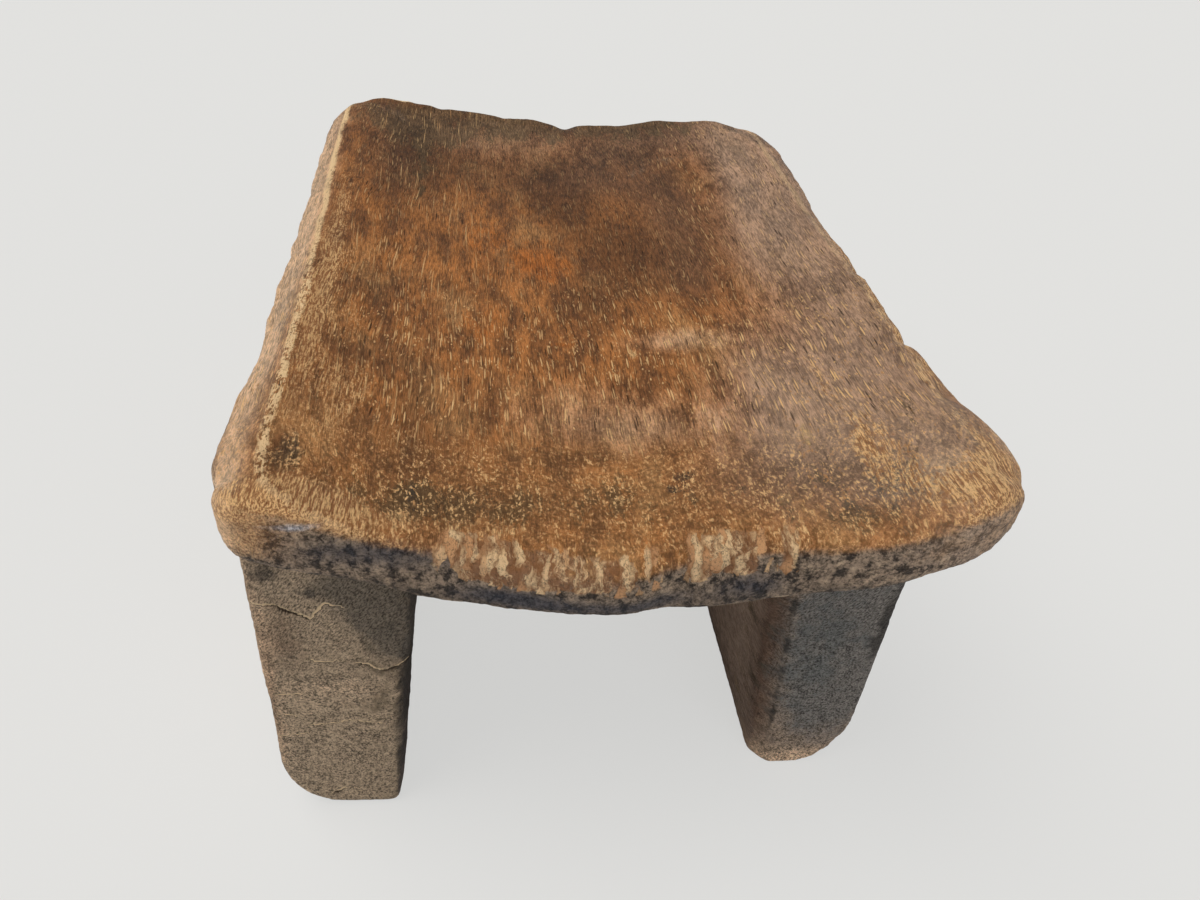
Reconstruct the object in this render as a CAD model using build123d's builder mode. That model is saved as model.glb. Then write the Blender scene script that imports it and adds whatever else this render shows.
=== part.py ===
"""Four-legged carved stool: a thick plank seat, bowed across its width, on four slab legs.

The whole stool is cut from one block of hardwood. It is modelled as its limbs, one solid each: the seat and the
four legs, which meet the seat's curved underside face to face. Millimetres, +X right, +Y back, +Z up. The origin
is on the floor, under the middle of the seat.
"""

from build123d import *
import os
from dataclasses import dataclass

# ---------------------------------------------------------------- driving dimensions

# Seat plank. Its top is a bow across X that sags between two high sides, and hollows a little along Y.
SEAT_THICKNESS = 27.0  # on the centre line
FRONT_MID_Z = 190.0  # top of the seat on its centre line, at the front lip
CENTRE_MID_Z = 185.5  # and at the middle of the sitting surface
BACK_MID_Z = 187.0  # and at the back edge
LEFT_RISE = (24.5, 22.0)  # height of the left crest above the centre line, at the front and at the back
RIGHT_RISE = (21.0, 16.5)  # and of the right crest
# Height of the underside above its centre line, at places across the front. It thins towards the right rim.
UNDERSIDE = ((-174, 23), (-130, 17), (-90, 7), (-50, 1.5), (0, 0), (50, -0.5), (90, 5.5), (124, 16), (174, 28))
CREST_X = 143.0  # where both crests run, either side of the centre line
SHOULDER_SLOPE = (0.45, 0.30)  # fall of the left and right shoulders outside a crest, per millimetre outwards
BOW_PLACES = (-CREST_X, -110.0, -60.0, 0.0, 60.0, 110.0, CREST_X)  # where the bow is drawn, across the seat
SHOULDER_PLACES = (15.0, 31.0)  # how far outside a crest its shoulder is drawn; the outline then trims it
STATIONS = (-262.0, -130.0, 0.0, 130.0, 262.0)  # where its cross-section is drawn, front to back

# Rounding of the seat's rim.
RIM_TOP_RADIUS = 8.0
RIM_UNDER_RADIUS = 5.0

# Outline of the seat in plan: points on a smooth closed line, from the front edge's middle round to the right.
OUTLINE = [
    (10, -243),
    (80, -238),
    (130, -235),
    (156, -217),
    (161, -183),
    (152, -124),
    (151, -42),
    (156, 88),
    (151, 169),
    (134, 199),
    (92, 220),
    (16, 232),
    (-75, 249),
    (-124, 243),
    (-153, 220),
    (-163, 170),
    (-162, 50),
    (-163, -52),
    (-166, -172),
    (-163, -212),
    (-151, -229),
    (-112, -235),
    (-60, -240),
]

# Legs.
ARCH_FOOT_HALF = 78.0  # half the gap between a front and a rear foot, at the floor
ARCH_SPRING_HALF = 66.0  # half the gap where the arch starts to close
ARCH_SPRING_Z = 96.0  # and the height of that place
ARCH_TOP_HALF = 24.0  # half the gap under the seat
ARCH_TOP_Z = 186.0
FOOT_CORNER_RADIUS = 30.0  # worn outer corner of a foot, seen from the front
LEG_EDGE_RADIUS = 3.5  # every other edge of a leg is softened
FACET_CUT = 8.0  # bevel between the front and inner faces of the front right leg
BLANK_INNER_Z = 178.0  # a leg's blank ends inside the seat's thickness, here at its inner face
BLANK_OUTER_Z = 193.0  # and here at its outer face
PROFILE_REACH = 240.0  # how far a leg's profile is extruded, past everything it crosses
PRISM_HEIGHT = 300.0  # and the seat's outline


@dataclass(frozen=True)
class Leg:
    """One leg's blank. Distances are from the stool's middle planes, to its outer, inner and end-grain faces."""

    label: str
    side: int  # -1 for left, 1 for right
    end: int  # -1 for front, 1 for rear
    outer_top: float
    outer_foot: float
    inner_top: float
    inner_foot: float
    end_top: float
    end_foot: float
    facet: float = 0.0  # cut of the bevel between the end-grain face and the inner face


LEGS = [
    Leg("front_left_leg", -1, -1, 155.0, 155.5, 81.0, 98.0, 219.0, 229.0),
    Leg("front_right_leg", 1, -1, 128.0, 134.5, 69.0, 87.0, 209.0, 210.0, FACET_CUT),
    Leg("rear_left_leg", -1, 1, 152.0, 151.0, 83.0, 99.0, 203.0, 198.0),
    Leg("rear_right_leg", 1, 1, 137.0, 137.0, 72.0, 89.0, 190.0, 186.0),
]


# ---------------------------------------------------------------- seat


def along(y, front_back):
    """Value at y of something that changes evenly from its front figure to its back figure."""
    front, back = front_back
    t = (y - STATIONS[0]) / (STATIONS[-1] - STATIONS[0])
    return front + (back - front) * t


def centre_height(y):
    """Height of the seat's top on its centre line: a parabola through the front, middle and back heights."""
    t = y / STATIONS[-1]
    tilt = (BACK_MID_Z - FRONT_MID_Z) / 2
    hollow = (BACK_MID_Z + FRONT_MID_Z) / 2 - CENTRE_MID_Z
    return CENTRE_MID_Z + tilt * t + hollow * t * t


def rim_edges(part):
    """The two edges round the seat's upright wall, the lower one first."""
    return part.faces().filter_by(GeomType.EXTRUSION)[0].edges().filter_by(GeomType.BSPLINE).sort_by(Axis.Z)


def seat_section(y):
    """Cross-section of the plank's blank at y: bowed top, a worn shoulder at each side, bowed underside."""
    top = centre_height(y)
    left = along(y, LEFT_RISE)
    right = along(y, RIGHT_RISE)
    bow = [(x, top + (left if x < 0 else right) * (x / CREST_X) ** 2) for x in BOW_PLACES]
    left_shoulder = [(-CREST_X - out, top + left - SHOULDER_SLOPE[0] * out) for out in SHOULDER_PLACES]
    right_shoulder = [(CREST_X + out, top + right - SHOULDER_SLOPE[1] * out) for out in SHOULDER_PLACES]
    upper = left_shoulder[::-1] + bow + right_shoulder
    flatter = (left + right) / (LEFT_RISE[0] + RIGHT_RISE[0])
    lower = [(x, top - SEAT_THICKNESS + rise * flatter) for x, rise in UNDERSIDE]
    with BuildSketch(Plane.XZ.offset(-y)) as section:
        with BuildLine():
            Spline(*upper)
            Line(upper[-1], lower[-1])
            Spline(*lower)
            Line(lower[0], upper[0])
        make_face()
    return section.sketch


with BuildPart() as plank:
    loft([seat_section(y) for y in STATIONS])

with BuildPart() as seat:
    with BuildSketch():
        with BuildLine():
            Spline(*OUTLINE, periodic=True)
        make_face()
    extrude(amount=PRISM_HEIGHT)
    add(plank.part, mode=Mode.INTERSECT)
    fillet(rim_edges(seat)[-1], RIM_TOP_RADIUS)
    fillet(rim_edges(seat)[0], RIM_UNDER_RADIUS)
seat.part.label = "seat"


# ---------------------------------------------------------------- legs


def front_profile(leg):
    """The leg's outline seen from the front: splayed faces, and a worn outer corner at the foot."""
    side = leg.side
    with BuildSketch(Plane.XZ.offset(-leg.end * PROFILE_REACH)) as profile:
        with BuildLine():
            Polyline(
                (side * leg.inner_foot, 0),
                (side * leg.outer_foot, 0),
                (side * leg.outer_top, BLANK_OUTER_Z),
                (side * leg.inner_top, BLANK_INNER_Z),
                close=True,
            )
        make_face()
        foot = profile.vertices().group_by(Axis.Y)[0]
        fillet(foot.sort_by(lambda corner: abs(corner.X))[-1], FOOT_CORNER_RADIUS)
    return profile.sketch


def side_profile(leg):
    """The leg's outline seen from the side: an end-grain face, and half of the arch between two legs."""
    end = leg.end
    with BuildSketch(Plane.YZ) as profile:
        with BuildLine():
            Polyline(
                (end * ARCH_FOOT_HALF, 0),
                (end * leg.end_foot, 0),
                (end * leg.end_top, BLANK_OUTER_Z),
                (end * ARCH_TOP_HALF, BLANK_OUTER_Z),
                (end * ARCH_TOP_HALF, ARCH_TOP_Z),
            )
            Spline(
                (end * ARCH_TOP_HALF, ARCH_TOP_Z),
                (end * ARCH_SPRING_HALF, ARCH_SPRING_Z),
                (end * ARCH_FOOT_HALF, 0),
            )
        make_face()
    return profile.sketch


def make_leg(leg):
    """One leg: its two profiles crossed, its edges softened, and its top cut to the seat's underside."""
    with BuildPart() as limb:
        extrude(front_profile(leg), amount=PROFILE_REACH, dir=(0, -leg.end, 0))
        extrude(side_profile(leg), amount=PROFILE_REACH, dir=(leg.side, 0, 0), mode=Mode.INTERSECT)
        if leg.facet:
            inner_corner = Vector(leg.side * leg.inner_top, leg.end * leg.end_top, BLANK_INNER_Z / 2)
            chamfer(limb.edges().sort_by_distance(inner_corner)[0], leg.facet)
        softened = limb.edges().filter_by(lambda edge: edge.bounding_box().min.Z < BLANK_INNER_Z - 1)
        fillet(softened, LEG_EDGE_RADIUS)
        add(seat.part, mode=Mode.SUBTRACT)
    limb.part.label = leg.label
    return limb.part


os.makedirs("parts", exist_ok=True)
export_step(seat.part, "parts/seat.step")
for leg in LEGS:
    export_step(make_leg(leg), f"parts/{leg.label}.step")
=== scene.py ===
"""Looks of a carved four-legged wooden stool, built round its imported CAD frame.

The stool is one block of hardwood whose grain runs front to back. The five CAD limbs are merged into that
block, a Geometry Nodes tree works its surface over with softened hollows, adze cuts, a torn lip and drying
cracks, and the block is then sawn back into a seat and four legs. Lengths are millimetres in the marks and in
the textures, and metres in the meshes.
"""

import logging
import math
from dataclasses import dataclass, fields
from enum import Enum
from typing import Iterable

import bmesh
import bpy
import numpy as np
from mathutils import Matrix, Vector
from mathutils.bvhtree import BVHTree


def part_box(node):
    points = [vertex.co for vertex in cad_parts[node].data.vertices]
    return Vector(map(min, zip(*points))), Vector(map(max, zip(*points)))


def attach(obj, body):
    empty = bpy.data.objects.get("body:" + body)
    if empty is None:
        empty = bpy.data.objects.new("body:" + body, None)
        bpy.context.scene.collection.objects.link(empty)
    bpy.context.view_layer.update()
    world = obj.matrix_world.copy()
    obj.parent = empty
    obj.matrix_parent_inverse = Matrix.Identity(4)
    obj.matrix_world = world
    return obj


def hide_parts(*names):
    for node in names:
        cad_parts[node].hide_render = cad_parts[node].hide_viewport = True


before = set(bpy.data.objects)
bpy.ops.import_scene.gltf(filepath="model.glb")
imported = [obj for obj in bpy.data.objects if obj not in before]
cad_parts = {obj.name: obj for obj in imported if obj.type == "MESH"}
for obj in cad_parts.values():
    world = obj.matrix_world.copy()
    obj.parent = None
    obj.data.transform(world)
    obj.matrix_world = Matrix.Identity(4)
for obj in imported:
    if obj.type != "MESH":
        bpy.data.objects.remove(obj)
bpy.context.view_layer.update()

LOG = logging.getLogger("stool")
BODY = "root"
SEAT = "seat"
MM = 0.001

Triple = tuple[float, float, float]


def linear(colour: Triple) -> tuple[float, float, float, float]:
    """Turn an sRGB colour written as 0 to 255 into the linear RGBA that a socket takes.

    Args:
        colour: Red, green and blue from 0 to 255.

    Returns:
        Linear red, green and blue with an alpha of 1.
    """
    parts = [c / 255 for c in colour]
    red, green, blue = [c / 12.92 if c <= 0.04045 else ((c + 0.055) / 1.055) ** 2.4 for c in parts]
    return red, green, blue, 1.0


def ease(low: float, high: float, value: np.ndarray) -> np.ndarray:
    """Smooth step from 0 at low to 1 at high; low may be the larger one.

    Args:
        low: Value that gives 0.
        high: Value that gives 1.
        value: The values to map.

    Returns:
        The eased values, from 0 to 1.
    """
    t = np.clip((value - low) / (high - low), 0.0, 1.0)
    return t * t * (3 - 2 * t)


# ---------------------------------------------------------------------------- marks on the wood


class Stain(Enum):
    """Kinds of patch on the wood, a painted shadow and a painted highlight among them. The value of each is
    the vertex attribute that carries it.
    """

    DUSK = "dusk"  # pale purple-brown weathering
    UMBER = "umber"  # dark brown, where the wood is soaked with use
    PLUM = "plum"  # dull purple-brown
    MOSS = "moss"  # olive-grey dirt
    DUST = "dust"  # pale smudges
    SLATE = "slate"  # smooth blue-grey polish
    INK = "ink"  # blue-black polish
    TAN = "tan"  # rubbed corners
    RUST = "rust"  # warm orange
    SOOT = "soot"  # near-black grime
    PALE = "pale"  # bare wood
    PAINTED_SHADOW = "shade"  # painted shadow: grey-brown shade under the seat's lip on the front left leg
    PAINTED_HIGHLIGHT = "glint"  # painted highlight: a bluish-white reflection painted along the lip's top edge
    GOLD = "gold"  # worn to bare golden fibre, which the finish draws in lines and not as a tint


@dataclass(frozen=True)
class Tint:
    """Colour of a stain, how much of the wood it hides at most, and how ragged it is: 0 is soft."""

    colour: Triple
    most: float
    torn: float = 0.0  # below 0 it lies where the other ragged stains are thin


# The stains lie over each other in this order.
TINTS = {
    Stain.DUSK: Tint((190, 162, 140), 0.75),
    Stain.UMBER: Tint((84, 56, 38), 0.75),
    Stain.PLUM: Tint((104, 78, 62), 0.75),
    Stain.MOSS: Tint((76, 66, 48), 0.75, 1.25),
    Stain.DUST: Tint((192, 158, 126), 0.5, -1.0),
    Stain.SLATE: Tint((98, 101, 100), 0.8),
    Stain.INK: Tint((52, 56, 66), 0.85),
    Stain.TAN: Tint((238, 202, 166), 0.85),
    Stain.RUST: Tint((184, 104, 42), 0.6, 0.7),
    Stain.SOOT: Tint((52, 48, 44), 0.8, 1.0),
    Stain.PALE: Tint((226, 188, 134), 0.75, 1.0),
    Stain.PAINTED_SHADOW: Tint((92, 84, 74), 0.8),
    Stain.PAINTED_HIGHLIGHT: Tint((206, 208, 216), 0.9),
}


@dataclass(frozen=True)
class Patch:
    """A soft-edged stain, or a patch of painted light or shade: an ellipsoid in the stool's frame, in
    millimetres.
    """

    stain: Stain
    at: Triple
    half: Triple
    strength: float = 1.0


@dataclass(frozen=True)
class Dent:
    """A knock, hole or chip: an ellipsoid in which the surface sinks, or swells where depth is negative."""

    at: Triple
    half: Triple
    depth: float


@dataclass(frozen=True)
class Crack:
    """A drying crack along a short path of points, in millimetres."""

    path: tuple[Triple, ...]


ANY = 400.0  # half size of a mark along a direction that doesn't limit it
FALL = 1.4  # how fast a mark's strength falls with the square of the distance from its middle


def spots(stain: Stain, *rows: tuple[float, ...]) -> list[Patch]:
    """Patches of one stain that go through the seat's whole thickness.

    Args:
        stain: The stain.
        rows: X, Y and Z of the middle of each, its half sizes along X and Y, and its strength.

    Returns:
        The patches.
    """
    return [Patch(stain, row[:3], (*row[3:5], ANY), row[5]) for row in rows]


# ---------------------------------------------------------------------------- node graphs


class Graph:
    """Shorthand for a node tree. Each method adds nodes and returns an output socket, unless it says more."""

    def __init__(self, tree: bpy.types.NodeTree) -> None:
        """Keep the tree that the nodes go into."""
        self.tree = tree

    def node(self, kind: str, **settings: object) -> bpy.types.Node:
        """Add a node and set its properties."""
        made = self.tree.nodes.new(kind)
        for name, value in settings.items():
            setattr(made, name, value)
        return made

    def feed(self, socket: bpy.types.NodeSocket, value: object) -> None:
        """Link a socket to another node's output, or set its value.

        Args:
            socket: The input to fill.
            value: An output socket, or a plain value for the input.
        """
        if isinstance(value, bpy.types.NodeSocket):
            self.tree.links.new(value, socket)
        else:
            socket.default_value = value

    def math(self, operation: str, *values: object) -> bpy.types.NodeSocket:
        """Add a Math node on one or two values."""
        made = self.node("ShaderNodeMath", operation=operation)
        for socket, value in zip(made.inputs, values):
            self.feed(socket, value)
        return made.outputs[0]

    def times(self, *values: object) -> bpy.types.NodeSocket:
        """Multiply all the values."""
        product = values[0]
        for value in values[1:]:
            product = self.math("MULTIPLY", product, value)
        return product

    def plus(self, *values: object) -> bpy.types.NodeSocket:
        """Add all the values."""
        total = values[0]
        for value in values[1:]:
            total = self.math("ADD", total, value)
        return total

    def vector(self, operation: str, *values: object) -> bpy.types.NodeSocket:
        """Add a Vector Math node. DOT_PRODUCT gives a number, the others give a vector."""
        made = self.node("ShaderNodeVectorMath", operation=operation)
        for socket, value in zip(made.inputs, values):
            self.feed(socket, value)
        return made.outputs["Value" if operation == "DOT_PRODUCT" else "Vector"]

    def scaled(self, vector: object, factor: float) -> bpy.types.NodeSocket:
        """Multiply a vector by a number."""
        made = self.node("ShaderNodeVectorMath", operation="SCALE")
        self.feed(made.inputs[0], vector)
        self.feed(made.inputs["Scale"], factor)
        return made.outputs[0]

    def step(self, value: object, low: float, high: float, start: float = 0.0, end: float = 1.0) -> object:
        """Smooth step of value from start at low to end at high. Low may be the larger one."""
        made = self.node("ShaderNodeMapRange", interpolation_type="SMOOTHSTEP", clamp=True)
        numbers = (high, low, end, start) if low > high else (low, high, start, end)
        for socket, number in zip(made.inputs, (value, *numbers)):
            self.feed(socket, number)
        return made.outputs[0]

    def cells(self, position: object, size: Triple) -> object:
        """Divide a position by a cell's size along X, Y and Z, for a texture whose cells have a size of 1."""
        return self.vector("MULTIPLY", position, tuple(1 / length for length in size))

    def noise(
        self, position: object, detail: float, roughness: float = 0.5, seed: float = 0.0, output: str = "Fac"
    ) -> bpy.types.NodeSocket:
        """Add a Noise Texture of scale 1.

        Args:
            position: Position in cells of the texture.
            detail: Number of its octaves.
            roughness: How much each octave adds to the one before it.
            seed: Which texture it is.
            output: Fac for a number from 0 to 1, Color for three.

        Returns:
            That output.
        """
        made = self.node("ShaderNodeTexNoise", noise_dimensions="4D")
        given = {"Vector": position, "W": seed, "Scale": 1.0, "Detail": detail, "Roughness": roughness}
        for name, value in given.items():
            self.feed(made.inputs[name], value)
        return made.outputs[output]

    def grains(self, position: object, randomness: float = 1.0) -> object:
        """Add a Voronoi Texture of scale 1 and return the node, for its Distance and Color."""
        made = self.node("ShaderNodeTexVoronoi", voronoi_dimensions="3D")
        made.inputs["Scale"].default_value = 1.0
        made.inputs["Randomness"].default_value = randomness
        self.feed(made.inputs["Vector"], position)
        return made

    def parts(self, vector: object) -> tuple[object, object, object]:
        """Split a vector or colour into its three numbers."""
        made = self.node("ShaderNodeSeparateXYZ")
        self.feed(made.inputs[0], vector)
        return tuple(made.outputs)

    def joined(self, *numbers: object) -> bpy.types.NodeSocket:
        """Make a vector of up to three numbers. None leaves its number at 0."""
        made = self.node("ShaderNodeCombineXYZ")
        for socket, number in zip(made.inputs, numbers):
            if number is not None:
                self.feed(socket, number)
        return made.outputs[0]

    def mix(self, factor: object, first: object, second: object) -> bpy.types.NodeSocket:
        """Mix two colours by a factor from 0 to 1."""
        made = self.node("ShaderNodeMix", data_type="RGBA", clamp_factor=True)
        for key, value in (("Factor", factor), (6, first), (7, second)):
            self.feed(made.inputs[key], value)
        return made.outputs[2]

    def blend(self, factor: object, first: object, second: object) -> bpy.types.NodeSocket:
        """Mix two numbers by a factor from 0 to 1."""
        made = self.node("ShaderNodeMix", data_type="FLOAT", clamp_factor=True)
        for key, value in (("Factor", factor), (2, first), (3, second)):
            self.feed(made.inputs[key], value)
        return made.outputs[0]


def torn_chips(graph: Graph, position: object) -> tuple[object, object, object]:
    """Pattern of the torn lip, shared by the surface and its colour: flakes of fibre that hang over the edge.

    Args:
        graph: The tree to build in.
        position: Position in millimetres.

    Returns:
        Height of each flake, a fine ridge along the fibres, and the gaps between flakes, each from 0 to 1.
    """
    lean = graph.noise(graph.cells(position, (9, 9, 9)), detail=3.0, roughness=0.6, seed=5.1, output="Color")
    leaning = graph.vector("ADD", position, graph.vector("MULTIPLY", lean, (9.0, 4.0, 12.0)))
    flakes = graph.grains(graph.cells(leaning, (3.4, 16.0, 8.0)))
    ridges = graph.noise(graph.cells(leaning, (1.1, 4.0, 2.8)), detail=4.0, roughness=0.75, seed=2.7)
    gaps = graph.step(flakes.outputs["Distance"], 0.4, 0.75)
    return graph.parts(flakes.outputs["Color"])[0], ridges, gaps


# ---------------------------------------------------------------------------- the plank's shape


class Plank:
    """Heights of the CAD seat's top and underside, and its outline in plan, as smooth functions of place."""

    STEP = 4 * MM  # grid on which the heights are read
    FAR = 1.0  # metres above or below the seat from which it is read
    BINS = 360  # directions in which the outline is read
    LEAST_REACH = 0.1  # a direction whose farthest vertex is nearer than this has missed the outline

    def __init__(self, seat: bpy.types.Object) -> None:
        """Read the heights and the outline off the seat's mesh."""
        mesh = seat.data
        tree = BVHTree.FromPolygons([v.co for v in mesh.vertices], [tuple(p.vertices) for p in mesh.polygons])
        low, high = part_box(SEAT)
        self.xs = np.arange(low.x, high.x + self.STEP, self.STEP)
        self.ys = np.arange(low.y, high.y + self.STEP, self.STEP)
        self.top_grid = self._heights(tree, self.FAR)
        self.under_grid = self._heights(tree, -self.FAR)
        self._read_outline(np.array([v.co[:2] for v in mesh.vertices]))

    def _heights(self, tree: BVHTree, start: float) -> np.ndarray:
        """Cast rays along Z onto the seat and spread the found heights past its edges.

        Args:
            tree: The seat's triangles.
            start: Height that the rays start from, in metres: above the seat, or below it if negative.

        Returns:
            Heights in metres, by row along Y and column along X.
        """
        grid = np.full((len(self.ys), len(self.xs)), np.nan)
        inwards = Vector((0, 0, -start))
        for row, y in enumerate(self.ys):
            for column, x in enumerate(self.xs):
                hit = tree.ray_cast(Vector((x, y, start)), inwards)[0]
                if hit is not None:
                    grid[row, column] = hit.z
        for lines in (grid, grid.T):
            for line in lines:
                known = ~np.isnan(line)
                if known.any():
                    line[~known] = np.interp(np.flatnonzero(~known), np.flatnonzero(known), line[known])
        return grid

    def _read_outline(self, plan: np.ndarray) -> None:
        """Keep the farthest reach of the seat in each direction from its middle."""
        angle = np.arctan2(plan[:, 1], plan[:, 0])
        reach = np.hypot(plan[:, 0], plan[:, 1])
        slot = ((angle + math.pi) / (2 * math.pi) * self.BINS).astype(int) % self.BINS
        farthest = np.zeros(self.BINS)
        np.maximum.at(farthest, slot, reach)
        centres = (np.arange(self.BINS) + 0.5) / self.BINS * 2 * math.pi - math.pi
        found = farthest > self.LEAST_REACH
        self.angles = centres
        self.reach = np.interp(centres, centres[found], farthest[found], period=2 * math.pi)
        slope = np.gradient(self.reach, centres)
        self.lean = self.reach / np.hypot(self.reach, slope)

    def _sample(self, grid: np.ndarray, points: np.ndarray) -> np.ndarray:
        """Interpolate a grid of heights at points' X and Y."""
        last = 1.001  # keeps a place on the last line of the grid inside its last cell
        u = np.clip((points[:, 0] - self.xs[0]) / self.STEP, 0, len(self.xs) - last)
        v = np.clip((points[:, 1] - self.ys[0]) / self.STEP, 0, len(self.ys) - last)
        column, row = u.astype(int), v.astype(int)
        a, b = u - column, v - row
        near = grid[row, column] * (1 - a) + grid[row, column + 1] * a
        far = grid[row + 1, column] * (1 - a) + grid[row + 1, column + 1] * a
        return near * (1 - b) + far * b

    def top(self, points: np.ndarray) -> np.ndarray:
        """Height of the seat's top above points, in metres."""
        return self._sample(self.top_grid, points)

    def underside(self, points: np.ndarray) -> np.ndarray:
        """Height of the seat's underside at points, in metres."""
        return self._sample(self.under_grid, points)

    def inset(self, points: np.ndarray) -> np.ndarray:
        """Distance of points inside the outline, in metres."""
        angle = np.arctan2(points[:, 1], points[:, 0])
        reach = np.interp(angle, self.angles, self.reach, period=2 * math.pi)
        lean = np.interp(angle, self.angles, self.lean, period=2 * math.pi)
        return (reach - np.hypot(points[:, 0], points[:, 1])) * lean


# ---------------------------------------------------------------------------- meshes as arrays


def read_points(mesh: bpy.types.Mesh) -> np.ndarray:
    """Positions of a mesh's vertices, one row each."""
    flat = np.empty(len(mesh.vertices) * 3, np.float32)
    mesh.vertices.foreach_get("co", flat)
    return flat.reshape(-1, 3).astype(float)


def read_normals(mesh: bpy.types.Mesh) -> np.ndarray:
    """Normals of a mesh's vertices, one row each."""
    flat = np.empty(len(mesh.vertices) * 3, np.float32)
    mesh.vertex_normals.foreach_get("vector", flat)
    return flat.reshape(-1, 3).astype(float)


def store(mesh: bpy.types.Mesh, name: str, values: np.ndarray) -> None:
    """Write one number for each vertex to a named attribute.

    Args:
        mesh: The mesh to write to.
        name: The attribute's name.
        values: One number for each vertex.
    """
    layer = mesh.attributes.get(name) or mesh.attributes.new(name, "FLOAT", "POINT")
    layer.data.foreach_set("value", values.astype(np.float32))


def bump_sum(points: np.ndarray, marks: Iterable[tuple[Triple, Triple, float]]) -> np.ndarray:
    """Add up soft ellipsoids over points.

    Args:
        points: Positions in millimetres.
        marks: Centre, half sizes and height of each ellipsoid.

    Returns:
        The sum at each point.
    """
    total = np.zeros(len(points))
    for at, half, height in marks:
        away = np.sum(((points - np.array(at)) / np.array(half)) ** 2, axis=1)
        total += height * np.exp(-away * FALL)
    return total


# ---------------------------------------------------------------------------- the worked block


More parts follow.
